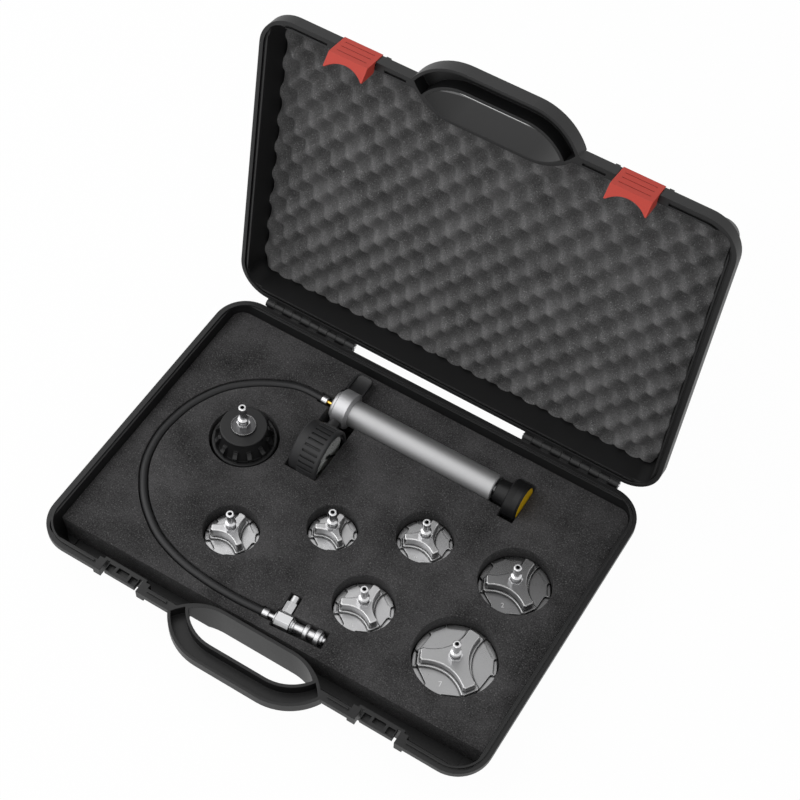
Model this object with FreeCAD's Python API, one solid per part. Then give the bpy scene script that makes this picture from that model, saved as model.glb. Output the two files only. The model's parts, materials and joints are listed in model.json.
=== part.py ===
import FreeCAD, Part

import math
import os

V = FreeCAD.Vector

# Radiator pressure tester kit: an open carry case with cut foam, a hand pump with its gauge,
# a hose with a relief valve and quick coupler, and seven radiator cap adapters.
#
# Millimetres. The origin is the centre of the case's bottom, +X runs to the right along the
# handle side, +Y from the handle to the hinges, +Z up. The case stands open.

# ---------------------------------------------------------------- case, both halves
CASE_W = 480.0            # over the rim, left to right
CASE_D = 339.2            # over the rim, handle side to hinge side
RIM_R = 35.0              # corner radius of the rim
RIM_W = 8.6               # width of the rim's face
WALL = 2.6                # wall and floor
WALL_R = 16.0             # corner radius of the tapered walls
FOOT_CHAMFER = 5.0        # bevel round the bottom and the lid's top
FLANGE_CHAMFER = 1.5

BASE_H = 42.0             # bottom to rim
BASE_FLANGE = 8.0         # height of the upright band under the base's rim
BASE_FRONT_SLOPE = 0.40   # how far the front wall leans in, per mm of height
BASE_SIDE_SLOPE = 0.12
BASE_GRIP_H = 16.0
BASE_CHANNEL_H = 12.0

LID_H = 46.0
LID_FLANGE = 13.5
LID_FRONT_SLOPE = 0.47
LID_SIDE_SLOPE = 0.15
LID_GRIP_H = 20.0
LID_CHANNEL_H = 15.0

RIM_GAP = 0.3             # between the two rims when the case is shut
OPEN_ANGLE = 100.2        # the lid's opening, in degrees

TONGUE_INSET = 4.6        # raised tongue round the base's rim
TONGUE_W = 2.0
TONGUE_H = 1.8
TONGUE_CLEAR = 0.35       # the lid's groove round it
TONGUE_GRIP = 88.0        # half of the stretch that it leaves out at the handle
TONGUE_CATCH = 2.0        # and how far it stops short of each catch

# ---------------------------------------------------------------- handle, half in each shell
GRIP_OUT = 28.9           # the grip's outer face, in front of the rim
GRIP_FRONT_HALF = 33.0    # half of its straight stretch
GRIP_FRONT_R = 58.0
GRIP_IN = 27.2            # inner face of the wall behind the finger hole, in from the rim
GRIP_BACK_HALF = 38.0
GRIP_BACK_R = 53.2
HOLE_OUT = 8.2            # front of the finger hole
HOLE_FRONT_HALF = 30.0
HOLE_FRONT_R = 45.7
HOLE_IN = 24.1            # back of the finger hole, in from the rim
HOLE_BACK_HALF = 38.0
HOLE_BACK_R = 41.8
GRIP_WALL = 3.0
GRIP_CHAMFER = 5.0

# ---------------------------------------------------------------- hinges
HINGE_OUT = 5.15          # the axis, behind the rims' back faces
HINGE_SIDE = 35.5         # outer end of each hinge, in from the rim's side
KNUCKLES = 10
KNUCKLE_PITCH = 10.6
KNUCKLE_GAP = 0.4
KNUCKLE_R = 4.2
LEDGE_T = 1.5             # ledge under the lid's knuckles
PIN_R = 2.0
PIN_CLEAR = 0.1
PIN_OVER = 1.0            # how far a pin stands out of its last knuckle

# ---------------------------------------------------------------- latches and their catches
LATCH_SIDE = 100.0        # centre of each latch, in from the rim's side
LATCH_W = 40.2
LATCH_T = 2.4
LATCH_PROUD = 0.5         # the latch's face stands this far outside the rim
LATCH_TOP = 13.2          # heights over the closing plane
LATCH_BEND = -13.5
LATCH_TIP = -21.6
LATCH_TIP_IN = 11.5       # how far in the tip lies from the latch's face
LATCH_CHEEK_T = 2.6
LATCH_CHEEK_IN = 12.3     # depth of the latch's side cheeks
LATCH_SCOOP = 8.0         # depth of the curved finger cut
LATCH_PIVOT_IN = 2.4      # the pivot, behind the rim's outer face
LATCH_PIVOT_Z = 11.0
LATCH_KNUCKLE_R = 2.4
LATCH_PIN_R = 1.2
LATCH_SIDE_CLEAR = 0.5
HOOK_REACH = 3.4
HOOK_H = 2.4
HOOK_CLEAR = 0.45
GROOVES = (0.24, 0.50, 0.77)   # places of the grip grooves, down the latch's face
GROOVE_W = 1.0
GROOVE_DEPTH = 0.5
GROOVE_HALF = 15.3
BOSS_R = 3.0              # bumps on the lid over the latch pins' ends
BOSS_L = 4.0
BOSS_FROM_LATCH = 5.0

CATCH_LIP_IN = 2.4        # front face of the catch, behind the rim's outer face
CATCH_LIP_H = 6.0
CATCH_FRAME_W = 3.0       # border of the catch's frame
CATCH_BACK_IN = 15.4      # back of the catch's frame
CATCH_POCKET = 7.4
CATCH_POCKET_X = 12.6
CATCH_POCKET_DEPTH = 4.0
CATCH_SLOT_W = 12.0
CATCH_SLOT_D = 5.5
CATCH_FOOT_W = 8.0        # deeper stretches of the band beside a latch
CATCH_FOOT_H = 11.0

# ---------------------------------------------------------------- foam
FOAM_TOP = 11.0           # below the base's rim
FOAM_CLEAR = 0.4
CUT_GAP = 0.6             # round a tool in its cut-out
KNOB_ROOM = 4.8
TAB_ROOM = 4.5
TAB_CUT = 12.0
FOAM_SHORT_LEFT = 31.1    # the front edge stops short of the rim, a little out of square
FOAM_SHORT_RIGHT = 38.6
LID_FOAM_FACE = 28.2      # lid foam's mean face, above the closing plane
LID_FOAM_EDGE = 5.0
LID_FOAM_DEEP = 8.0       # room that the waves take each side of the mean face
EGG_X = 28.8              # from one bump to the next in its row
EGG_Y = 33.4
EGG_H = 4.4               # height of a bump over the mean face
EGG_SIDE = 17.0           # first bump, in from the rim's side and from its back
EGG_BACK = 57.6

# ---------------------------------------------------------------- pump
PUMP_BACK = 57.6          # the pump's axis, in from the rim's back
TUBE_R = 14.0
TUBE_WALL = 1.5
TUBE_END = 103.3          # right end of the pump's tube
TUBE_ROUND = 1.0
HEAD_LEFT = -80.6
HEAD_NOSE_L = 4.6
HEAD_NOSE_R = 14.8
HEAD_R = 19.2
HEAD_RING_L = 14.2
HEAD_BEVEL_L = 2.2        # slope from the ring down to the tube
HEAD_BEVEL_R = 15.2
HEAD_SEAT = 7.4           # depth of the bore that takes the tube
ROD_R = 5.0
STROKE = 90.0             # how far the rod pulls out, until the piston meets the guide
GUIDE_IN = 0.6            # the guide's end, inside the tube's
PISTON_L = 20.0
PISTON_GAP = 0.3
SEAL_W = 2.6
STROKE_END = 6.0          # the piston's distance from the head when the rod is in
KNOB_GAP = 1.7            # between the tube's end and the knob
KNOB_NECK_L = 14.0
KNOB_NECK_R0 = 11.4
KNOB_NECK_R1 = 13.6
KNOB_L = 16.1             # the knob's flange
KNOB_R = 19.9
KNOB_WAIST = 0.4
KNOB_SEAT = 6.0           # how far the rod goes into the knob
DISC_R = 17.0
DISC_T = 1.6
TAB_W = 18.8
TAB_L = 20.3              # out of the head, towards the hinges
TAB_T = 5.0
TAB_R = 6.0
TAB_RIM = 1.4             # rim round the tab's hollow top
TAB_DISH = 2.2
TAB_DISH_R = 60.0
TAB_DISH_FROM = 6.0       # the hollow's lowest line, out from the head
TAB_TOP = 10.0            # above the pump's axis

# ---------------------------------------------------------------- gauge
GAUGE_OFF = 57.0          # the gauge's axis, in front of the pump's
GAUGE_LIFT = 0.6          # the guard's clearance over the floor
GAUGE_R = 28.8            # over the rubber guard's front ring
GAUGE_BACK = -82.0
GAUGE_FRONT = -49.6
GUARD_T = 2.6
GUARD_BACK_R = 27.6
GUARD_RIB_FROM = -71.5
GUARD_RIB_TO = -54.0
GUARD_RIBS = 28
GUARD_RIB_W = 4.0
GUARD_RIB_H = 2.2
GUARD_LIP = 3.2           # the guard's front lip, inwards
GUARD_LIP_T = 2.0
GUARD_HOLE = 6.0          # the guard's back is open this far in from its wall
CASE_WALL = 1.6
DIAL_T = 0.8
DIAL_IN = 4.5             # floor under the dial, behind the guard's front
LENS_T = 1.2
LENS_IN = 1.5
POINTER_GAP = 0.5
POINTER_L = 17.0
POINTER_TAIL = 6.0
POINTER_T = 0.5
HUB_R = 3.0
HUB_H = 1.0
POINTER_REST = 315.0      # degrees from +Y towards +Z
STEM_R = 6.0
POCKET_LEFT = -85.2       # left end of the foam's cut-outs for head and gauge

# ---------------------------------------------------------------- hose and its fittings
HOSE_R = 4.0
HOSE_DROP = 4.0           # its axis, below the pump's
HOSE_FROM_HEAD = 10.9
HOSE_FIRST = 32.5         # first and last straight runs
HOSE_LAST = 28.0
HOSE_ROUTE = (            # shares of the case's half width and depth
    (-0.654, 0.566), (-0.775, 0.419), (-0.850, 0.206), (-0.873, -0.047), (-0.838, -0.271),
    (-0.738, -0.472), (-0.592, -0.622), (-0.433, -0.690), (-0.279, -0.711),
)
GROOVE_SIDE = 1.0         # free room each side of the hose in its groove
GROOVE_UNDER = 1.0
FERRULE_R = 4.7
FERRULE_L = 6.0
FERRULE_OVER = 1.5        # how far a ferrule reaches past the hose's end
BARB_R = 2.6

TEE_TURN = 5.0            # the coupler lies a little askew
TEE_X = -8.0              # where the hose ends
TEE_FRONT = 51.4          # in from the rim's front
VALVE_FROM = 8.4          # from the hose's end, along the coupler's axis
VALVE_L = 18.2
VALVE_AF = 15.6
VALVE_CHAMFER = 3.5
VALVE_END_R = 7.3         # round ends, with a groove next to the flats
VALVE_END_T = 1.0
VALVE_GROOVE = 0.7
RELIEF_X = 15.6
RELIEF_SEAT = 5.0         # how deep the nut goes into the valve
NUT_AF = 10.2
NUT_L = 12.0
RELIEF_R = 3.8
RELIEF_L = 8.1
RELIEF_TRAVEL = 2.0
COUPLER_R = 4.7
COUPLER_L = 26.9
COUPLER_STEP = 0.9        # wider end next to the valve
COUPLER_STEP_L = 2.0
COLLAR_FROM = 12.4
COLLAR_L = 4.0
COLLAR_R = 7.4
SLEEVE_FROM = 23.8
SLEEVE_RING_L = 5.0
SLEEVE_R = 7.8
SLEEVE_NOSE_L = 2.4
SLEEVE_NOSE_R = 5.3
SLEEVE_TRAVEL = 2.0
TIP_R = 3.0
TIP_L = 13.3
TIP_SEAT = 6.0            # how deep the tip goes into the coupler
TIP_BORE = 1.8
TEE_ROOM = 0.8            # round the coupler in its cut-out
TEE_ROOM_FRONT = 2.2
SLIP = 0.12               # radial clearance of what slides

# ---------------------------------------------------------------- cap adapters
ADAPTERS = (              # centre as shares of the case's half width and depth, radius, turn, height
    (0.6733, -0.3715, 39.2, -4.9, 26.4), (0.7063, 0.2034, 34.3, -2.6, 27.8),
    (0.2588, -0.3656, 28.5, -3.3, 29.4), (0.3067, 0.1757, 26.7, 1.0, 29.1),
    (-0.3588, -0.3721, 26.0, -2.1, 31.2), (-0.0267, -0.0537, 23.5, -1.3, 29.9),
)
CAP_CEILING = 9.0         # heights over the cap's own bottom edge
CAP_LEDGE = 13.4
CAP_TOP = 16.0
CAP_STEP = 18.6
CAP_SKIRT = 4.6
CAP_BEVEL = 0.8
CAP_NOTCHES = 12          # by turns narrow and wide, with thin ribs left between them
NOTCH_NARROW = 25.8       # angle of a narrow notch, from rib to rib
NOTCH_NARROW_DEEP = 3.6
NOTCH_WIDE_DEEP = 5.8
NOTCH_PLAIN = 9           # the narrow notch that is left out, by the stamped number
NOTCH_RIB = 0.6
NOTCH_R = 2.6             # inner corners
ARM_SHORT = 6.8           # the arms' ends, in from the cap's edge
ARM_HALF = 0.22           # half width of an arm: share of the radius, less a fixed part
ARM_HALF_LESS = 2.1
ARM_WAIST = 0.41          # hollow sides between the arms
ARM_WAIST_LESS = 3.2
ARM_CORNER = 0.05
ARM_FOOT = 0.07           # how much further out the arms' low step lies
ARM_SINK = 0.5
POCKET_GAP = 1.6
SEAL_T = 2.0
SEAL_SPAN = 3.4
SEAL_SLIP = 0.1
NIPPLE_BORE = 2.0
SPIGOT_R = 3.9
SPIGOT_CLEAR = 0.1
HEX_AF = 12.0
HEX_H = 5.0
NECK_R = 3.6
SHOULDER = (9.0, 11.5)    # collar above the hexagon, from and to
SHOULDER_R = 5.2
GROOVE_R = 2.9
NOSE_L = 9.0
NOSE_R = 4.0
NIPPLE_H = 26.6
SEAT_GAP = 0.05
NIPPLE_BEVEL = 0.7

BLACK_AT = (-0.5625, 0.1798)   # shares of the case's half width and depth
BLACK_SKIRT_R = 32.6
BLACK_SKIRT_H = 25.9
BLACK_LIP = 2.0
BLACK_BODY_R0 = 26.5
BLACK_BODY_R1 = 22.4
BLACK_DISC_R = 23.4
BLACK_DISC_T = 3.0
BLACK_TOP = 48.2          # heights over the adapter's own bottom edge
BLACK_LUGS = 12
BLACK_LUG_W = 4.4
BLACK_LUG_OUT = 29.4
BLACK_LUG_H = 12.0
BLACK_WALL = 4.0
BLACK_POCKET_GAP = 2.4
BLACK_CEILING_T = 3.0
BLACK_NIPPLE_H = 30.6
WASHER_R = 12.3
WASHER_T = 1.5
WASHER_RIM_W = 0.9
WASHER_RIM_H = 0.7

# ---------------------------------------------------------------- derived places
HALF_W = CASE_W / 2
HALF_D = CASE_D / 2
HINGE_Z = BASE_H + RIM_GAP / 2
HINGE_Y = HALF_D + HINGE_OUT
HINGE_FROM = HALF_W - HINGE_SIDE - KNUCKLES * KNUCKLE_PITCH
LATCH_X = HALF_W - LATCH_SIDE
FLOOR = WALL
FOAM_Z = BASE_H - FOAM_TOP
REST_Z = FLOOR + FOAM_CLEAR       # what lies on the floor
AXIS_Z = FLOOR + GAUGE_LIFT + GAUGE_R
PUMP_Y = HALF_D - PUMP_BACK
GAUGE_Y = PUMP_Y - GAUGE_OFF
HEAD_RING = HEAD_LEFT + HEAD_NOSE_L
HEAD_RIGHT = HEAD_RING + HEAD_RING_L + HEAD_BEVEL_L
HEAD_FLOOR = HEAD_RIGHT - HEAD_SEAT
HEAD_MIDDLE = HEAD_RING + HEAD_RING_L / 2     # the stem's and the tab's centre line
KNOB_LEFT = TUBE_END + KNOB_GAP
KNOB_FLANGE = KNOB_LEFT + KNOB_NECK_L
KNOB_RIGHT = KNOB_FLANGE + KNOB_L
HOSE_Z = AXIS_Z - HOSE_DROP
HOSE_START = HEAD_LEFT - HOSE_FROM_HEAD
TEE_Y = TEE_FRONT - HALF_D
BLACK_X = BLACK_AT[0] * HALF_W
BLACK_Y = BLACK_AT[1] * HALF_D


# ---------------------------------------------------------------- shapes
def box(x0, x1, y0, y1, z0, z1):
    return Part.makeBox(x1 - x0, y1 - y0, z1 - z0, V(x0, y0, z0))


def rounded(x0, x1, y0, y1, r, z):
    """A rectangle with round corners, as a wire."""
    k = r * (1 - math.sqrt(0.5))
    line, arc = Part.LineSegment, Part.Arc
    edges = [
        line(V(x0 + r, y0, z), V(x1 - r, y0, z)),
        arc(V(x1 - r, y0, z), V(x1 - k, y0 + k, z), V(x1, y0 + r, z)),
        line(V(x1, y0 + r, z), V(x1, y1 - r, z)),
        arc(V(x1, y1 - r, z), V(x1 - k, y1 - k, z), V(x1 - r, y1, z)),
        line(V(x1 - r, y1, z), V(x0 + r, y1, z)),
        arc(V(x0 + r, y1, z), V(x0 + k, y1 - k, z), V(x0, y1 - r, z)),
        line(V(x0, y1 - r, z), V(x0, y0 + r, z)),
        arc(V(x0, y0 + r, z), V(x0 + k, y0 + k, z), V(x0 + r, y0, z)),
    ]
    return Part.Wire([e.toShape() for e in edges])


def prism(wire, height):
    return Part.Face(wire).extrude(V(0, 0, height))


def loft(wires):
    return Part.makeLoft(wires, True, True)


def turned(profile, origin, axis, angle=360.0, start=0.0):
    """A body of revolution: profile is (distance along the axis, radius), closed."""
    points = [V(r, 0, t) for t, r in profile]
    face = Part.Face(Part.makePolygon(points + points[:1]))
    shape = face.revolve(V(0, 0, 0), V(0, 0, 1), angle)
    shape.rotate(V(0, 0, 0), V(0, 0, 1), start)
    shape.Placement = FreeCAD.Placement(origin, FreeCAD.Rotation(V(0, 0, 1), axis)) * shape.Placement
    return shape


def rod(r, start, end):
    way = end - start
    return Part.makeCylinder(r, way.Length, start, way)


def ring(r_out, r_in, t0, t1, origin, axis):
    return turned([(t0, r_in), (t0, r_out), (t1, r_out), (t1, r_in)], origin, axis)


def hexagon(across, start, end, turn=0.0):
    """A hexagonal bar between two points."""
    way = end - start
    corner = across / math.sqrt(3)
    points = [V(corner * math.cos(math.radians(60 * k + turn)),
                corner * math.sin(math.radians(60 * k + turn)), 0) for k in range(7)]
    bar = Part.Face(Part.makePolygon(points)).extrude(V(0, 0, way.Length))
    bar.Placement = FreeCAD.Placement(start, FreeCAD.Rotation(V(0, 0, 1), way))
    return bar


def fuse(shapes):
    first, rest = shapes[0], list(shapes[1:])
    return first.fuse(rest) if rest else first


def tidy(shape):
    return shape.removeSplitter()


NODES = {}


def node(name, *solids):
    """Keeps a finished piece, or a group of like pieces, under its name."""
    whole = []
    for solid in solids:
        whole += tidy(solid).Solids
    NODES[name] = Part.makeCompound(whole) if len(whole) > 1 else whole[0]


# ---------------------------------------------------------------- case halves
def lens(front, front_half, front_r, back, back_half, back_r, inset, z):
    """The handle's outline: two flats joined by arcs that meet in a point each side."""
    cy1, r1 = -front + front_r, front_r - inset
    cy2, r2 = -back - back_r, back_r - inset
    dx, dy = back_half - front_half, cy2 - cy1
    d = math.hypot(dx, dy)
    a = (r1 * r1 - r2 * r2 + d * d) / (2 * d)
    h = math.sqrt(r1 * r1 - a * a)
    tip = V(front_half + a * dx / d - h * dy / d, cy1 + a * dy / d + h * dx / d, z)

    def between(cx, cy, r, p, q):
        """The point half way along an arc from p to q."""
        m = V((p.x + q.x) / 2 - cx, (p.y + q.y) / 2 - cy, 0)
        m = m * (r / m.Length)
        return V(cx + m.x, cy + m.y, z)

    f = V(front_half, -front + inset, z)
    b = V(back_half, -back - inset, z)
    m1 = between(front_half, cy1, r1, f, tip)
    m2 = between(back_half, cy2, r2, tip, b)

    def left(p):
        return V(-p.x, p.y, p.z)

    edges = [
        Part.LineSegment(left(f), f), Part.Arc(f, m1, tip), Part.Arc(tip, m2, b),
        Part.LineSegment(b, left(b)), Part.Arc(left(b), left(m2), left(tip)),
        Part.Arc(left(tip), left(m1), left(f)),
    ]
    return Part.Wire([e.toShape() for e in edges])


def grip_outline(inset, z):
    return lens(HALF_D + GRIP_OUT, GRIP_FRONT_HALF, GRIP_FRONT_R,
                HALF_D - GRIP_IN, GRIP_BACK_HALF, GRIP_BACK_R, inset, z)


def hole_outline(grow, z):
    return lens(HALF_D + HOLE_OUT, HOLE_FRONT_HALF, HOLE_FRONT_R,
                HALF_D - HOLE_IN, HOLE_BACK_HALF, HOLE_BACK_R, -grow, z)


def wall_outline(side, front, r, z):
    return rounded(side - HALF_W, HALF_W - side, front - HALF_D, HALF_D - side, r, z)


def shell_half(depth, flange, front_slope, side_slope, grip_h, channel_h):
    """One half of the case, rim upwards at z = 0."""
    start = RIM_W - WALL

    def outer(z, extra=0.0):
        return wall_outline(start - side_slope * z + extra, start - front_slope * z + extra,
                            WALL_R, z)

    def inner(z):
        return wall_outline(RIM_W - side_slope * z, RIM_W - front_slope * z, WALL_R - WALL, z)

    walls = loft([outer(0), outer(FOOT_CHAMFER - depth), outer(-depth, FOOT_CHAMFER)])
    band = loft([wall_outline(0, 0, RIM_R, 0),
                 wall_outline(0, 0, RIM_R, FLANGE_CHAMFER - flange),
                 wall_outline(FLANGE_CHAMFER, FLANGE_CHAMFER, RIM_R - FLANGE_CHAMFER, -flange)])
    grip = loft([grip_outline(0, 0), grip_outline(0, GRIP_CHAMFER - grip_h),
                 grip_outline(GRIP_CHAMFER, -grip_h)])
    space = loft([inner(1), inner(WALL - depth)])
    behind_hole = prism(grip_outline(0, -depth - 1), depth + 3)
    hole = prism(hole_outline(0, -depth - 1), depth + 3)
    channel = prism(grip_outline(GRIP_WALL, -channel_h), channel_h + 1)
    channel = channel.cut(prism(hole_outline(GRIP_WALL, -channel_h - 1), channel_h + 3))
    body = fuse([walls, band, grip])
    return body.cut([space.cut(behind_hole), hole, channel])


def tongue_ring(clear, z0, z1):
    """The tongue on the base's rim, or with a clearance the groove that takes it."""
    outside = TONGUE_INSET - clear
    inside = TONGUE_INSET + TONGUE_W + clear
    whole = prism(wall_outline(outside, outside, RIM_R - outside, z0), z1 - z0)
    whole = whole.cut(prism(wall_outline(inside, inside, RIM_R - inside, z0 - 1), z1 - z0 + 2))
    half = TONGUE_GRIP - clear
    gaps = [box(-half, half, -HALF_D - 1, 0, z0 - 1, z1 + 1)]
    for side in (-1, 1):
        x = side * LATCH_X
        half = LATCH_W / 2 + CATCH_FOOT_W + TONGUE_CATCH - clear
        gaps.append(box(x - half, x + half, -HALF_D - 1, 0, z0 - 1, z1 + 1))
    return whole.cut(gaps)


def knuckles(first, web_z):
    """Every second knuckle of both hinges, each with a web that reaches from the axis to web_z."""
    out = []
    for side in (-1, 1):
        for k in range(first, KNUCKLES, 2):
            x0 = side * HINGE_FROM + side * k * KNUCKLE_PITCH
            x1 = x0 + side * (KNUCKLE_PITCH - KNUCKLE_GAP)
            x0, x1 = min(x0, x1), max(x0, x1)
            barrel = rod(KNUCKLE_R, V(x0, HINGE_Y, 0), V(x1, HINGE_Y, 0))
            web = box(x0, x1, HALF_D - 1, HINGE_Y, min(0, web_z), max(0, web_z))
            out.append(barrel.fuse(web))
    return out


def hinge_bores(radius, over):
    length = KNUCKLES * KNUCKLE_PITCH - KNUCKLE_GAP
    return [rod(radius, V(side * (HINGE_FROM - over), HINGE_Y, 0),
                V(side * (HINGE_FROM + length + over), HINGE_Y, 0)) for side in (-1, 1)]


def make_base_shell():
    rim = -RIM_GAP / 2                 # built round the hinge axis at z = 0
    shell = shell_half(BASE_H, BASE_FLANGE, BASE_FRONT_SLOPE, BASE_SIDE_SLOPE,
                       BASE_GRIP_H, BASE_CHANNEL_H)
    outside = loft([wall_outline(0, 0, RIM_R, 0), wall_outline(0, 0, RIM_R, -BASE_FLANGE)])
    start = RIM_W - WALL
    outside = outside.fuse(prism(wall_outline(start, start + BASE_FRONT_SLOPE * BASE_FLANGE,
                                              WALL_R, -BASE_H / 2), BASE_H / 2))
    add, cut = [], []
    half = LATCH_W / 2 + LATCH_SIDE_CLEAR
    frame = half + CATCH_FRAME_W
    lip = CATCH_LIP_IN - HALF_D
    back = CATCH_BACK_IN - HALF_D
    niche = back - WALL
    for side in (-1, 1):
        x = side * LATCH_X
        add.append(box(x - frame, x + frame, -HALF_D, back, -BASE_H / 2, 0).common(outside))
        for end in (-1, 1):
            a = x + end * half
            b = a + end * CATCH_FOOT_W
            add.append(box(min(a, b), max(a, b), -HALF_D, back - WALL, -CATCH_FOOT_H, 0))
            c = a - end * (LATCH_CHEEK_T + 2 * LATCH_SIDE_CLEAR)
            cut.append(box(min(a, c), max(a, c), -HALF_D - 5, niche, -BASE_H, 1))
            p = x + end * CATCH_POCKET_X
            cut.append(box(p - CATCH_POCKET / 2, p + CATCH_POCKET / 2, lip + 1.2,
                           lip + 1.2 + CATCH_POCKET, -CATCH_POCKET_DEPTH, 1))
        cut.append(box(x - half, x + half, -HALF_D - 5, lip, -BASE_H, 1))
        cut.append(box(x - half, x + half, -HALF_D - 5, niche, -BASE_H, -CATCH_LIP_H))
        cut.append(box(x - CATCH_SLOT_W / 2, x + CATCH_SLOT_W / 2, niche - 1 - CATCH_SLOT_D,
                       niche - 1, -CATCH_POCKET_DEPTH, 1))
    shell = fuse([shell] + add).cut(cut)
    shell = shell.fuse(tongue_ring(0, -0.5, TONGUE_H))
    shell.translate(V(0, 0, rim))
    high = -KNUCKLE_R - KNUCKLE_GAP
    low = high - LEDGE_T
    length = KNUCKLES * KNUCKLE_PITCH - KNUCKLE_GAP
    ledges = []
    for side in (-1, 1):
        ends = sorted((side * HINGE_FROM, side * (HINGE_FROM + length)))
        ledges.append(box(ends[0], ends[1], HALF_D - 1, HINGE_Y, low, high))
    shell = fuse([shell] + ledges + knuckles(0, low)).cut(hinge_bores(PIN_R + PIN_CLEAR, 2))
    shell.translate(V(0, 0, HINGE_Z))
    return shell


def open_lid(shape):
    """Turns a piece of the lid from shut, where it is built, to open, where it rests."""
    shape.rotate(V(0, HINGE_Y, 0), V(1, 0, 0), -OPEN_ANGLE)
    shape.translate(V(0, 0, HINGE_Z))
    return shape


def pivot_point(x):
    return V(x, LATCH_PIVOT_IN - HALF_D, LATCH_PIVOT_Z)


def make_lid_shell():
    shell = shell_half(LID_H, LID_FLANGE, LID_FRONT_SLOPE, LID_SIDE_SLOPE,
                       LID_GRIP_H, LID_CHANNEL_H)
    shell = shell.mirror(V(0, 0, 0), V(0, 0, 1))
    depth = TONGUE_H + RIM_GAP + TONGUE_CLEAR
    cut = [tongue_ring(TONGUE_CLEAR, -1, depth)]
    add, bores = [], []
    half = LATCH_W / 2 + LATCH_SIDE_CLEAR
    for side in (-1, 1):
        x = side * LATCH_X
        room = box(x - half, x + half, -HALF_D - 5, RIM_W - WALL - HALF_D + 0.4, -1, LID_FLANGE + 3)
        cut.append(room)
        reach = LATCH_W / 2 + BOSS_FROM_LATCH + PIN_CLEAR
        bores.append(rod(LATCH_PIN_R + PIN_CLEAR, pivot_point(x - reach), pivot_point(x + reach)))
        for end in (-1, 1):
            if side < 0 and end < 0:
                continue
            near = x + end * (half + BOSS_FROM_LATCH - BOSS_L / 2)
            far = near + end * BOSS_L
            y = CATCH_LIP_IN + 1 - HALF_D
            add.append(rod(BOSS_R, V(near, y, LID_FLANGE - 0.5), V(far, y, LID_FLANGE - 0.5)))
    shell = fuse([shell] + add).cut(cut)
    shell.translate(V(0, 0, RIM_GAP / 2))
    shell = fuse([shell] + knuckles(1, KNUCKLE_R)).cut(hinge_bores(PIN_R + PIN_CLEAR, 2) + bores)
    return open_lid(shell)


def make_latch(x):
    """A latch as it lies when shut: face plate, side cheeks, hook, knuckle and finger cut."""
    face = -HALF_D - LATCH_PROUD
    back = face + LATCH_T
    tip = V(0, face + LATCH_TIP_IN, LATCH_TIP)
    slope = V(0, LATCH_TIP_IN, LATCH_TIP - LATCH_BEND)
    slope.normalize()
    skew = LATCH_T * math.tan(math.atan2(LATCH_TIP_IN, LATCH_BEND - LATCH_TIP) / 2)
    inner_tip = tip + V(0, -slope.z, slope.y) * LATCH_T
    hook_top = -CATCH_LIP_H - HOOK_CLEAR - RIM_GAP / 2
    cheek = face + LATCH_CHEEK_IN

    def slab(points, x0, x1):
        wire = Part.makePolygon([V(x0, y, z) for y, z in points + points[:1]])
        return Part.Face(wire).extrude(V(x1 - x0, 0, 0))

    x0, x1 = x - LATCH_W / 2, x + LATCH_W / 2
    plate = slab([(face, LATCH_TOP), (face, LATCH_BEND), (tip.y, tip.z),
                  (inner_tip.y, inner_tip.z), (back, LATCH_BEND + skew), (back, LATCH_TOP)], x0, x1)
    hook = slab([(back - 0.5, hook_top), (back + HOOK_REACH, hook_top),
                 (back + HOOK_REACH, hook_top - HOOK_H / 2), (back - 0.5, hook_top - HOOK_H)],
                x0 + LATCH_CHEEK_T, x1 - LATCH_CHEEK_T)
    cheek_side = [(back - 0.5, -0.4), (cheek - 1.0, -0.4), (cheek, -3.0), (cheek, inner_tip.z),
                  (inner_tip.y - 0.2, inner_tip.z), (back - 0.5, LATCH_BEND + skew)]
    cheeks = [slab(cheek_side, x0, x0 + LATCH_CHEEK_T), slab(cheek_side, x1 - LATCH_CHEEK_T, x1)]
    pivot = pivot_point(0)
    knuckle = rod(LATCH_KNUCKLE_R, V(x0, pivot.y, pivot.z), V(x1, pivot.y, pivot.z))
    knuckle = knuckle.common(box(x0, x1, face, 0, 0, LATCH_TOP))
    latch = fuse([plate, hook, knuckle] + cheeks)
    chord = LATCH_W / 2 - LATCH_CHEEK_T / 2
    scoop_r = (chord ** 2 + LATCH_SCOOP ** 2) / (2 * LATCH_SCOOP)
    centre = V(x, tip.y, tip.z) + slope * (scoop_r - LATCH_SCOOP)
    out = V(0, slope.z, -slope.y)
    cuts = [rod(scoop_r, centre - out * 20, centre + out * 20),
            rod(LATCH_PIN_R + PIN_CLEAR, V(x0 - 1, pivot.y, pivot.z), V(x1 + 1, pivot.y, pivot.z))]
    for share in GROOVES:
        z = LATCH_TOP + share * (LATCH_BEND - LATCH_TOP)
        cuts.append(box(x - GROOVE_HALF, x + GROOVE_HALF, face - 1, face + GROOVE_DEPTH,
                        z - GROOVE_W / 2, z + GROOVE_W / 2))
    return open_lid(latch.cut(cuts))


def make_case():
    node("base_shell", make_base_shell())
    node("lid_shell", make_lid_shell())
    pins = hinge_bores(PIN_R, PIN_OVER)
    for pin in pins:
        pin.translate(V(0, 0, HINGE_Z))
    node("hinge_pins", *pins)
    node("latch_left", make_latch(-LATCH_X))
    node("latch_right", make_latch(LATCH_X))
    reach = LATCH_W / 2 + BOSS_FROM_LATCH
    node("latch_pins", *[open_lid(rod(LATCH_PIN_R, pivot_point(side * LATCH_X - reach),
                                      pivot_point(side * LATCH_X + reach))) for side in (-1, 1)])


# ---------------------------------------------------------------- hose
def hose_points():
    """The route's corners, level with the groove: straight out of the head, straight into the valve."""
    points = [V(HOSE_START, PUMP_Y, HOSE_Z), V(HOSE_START - HOSE_FIRST, PUMP_Y, HOSE_Z)]
    points += [V(x * HALF_W, y * HALF_D, HOSE_Z) for x, y in HOSE_ROUTE]
    return points + [tee(-HOSE_LAST), tee(0)]


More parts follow.
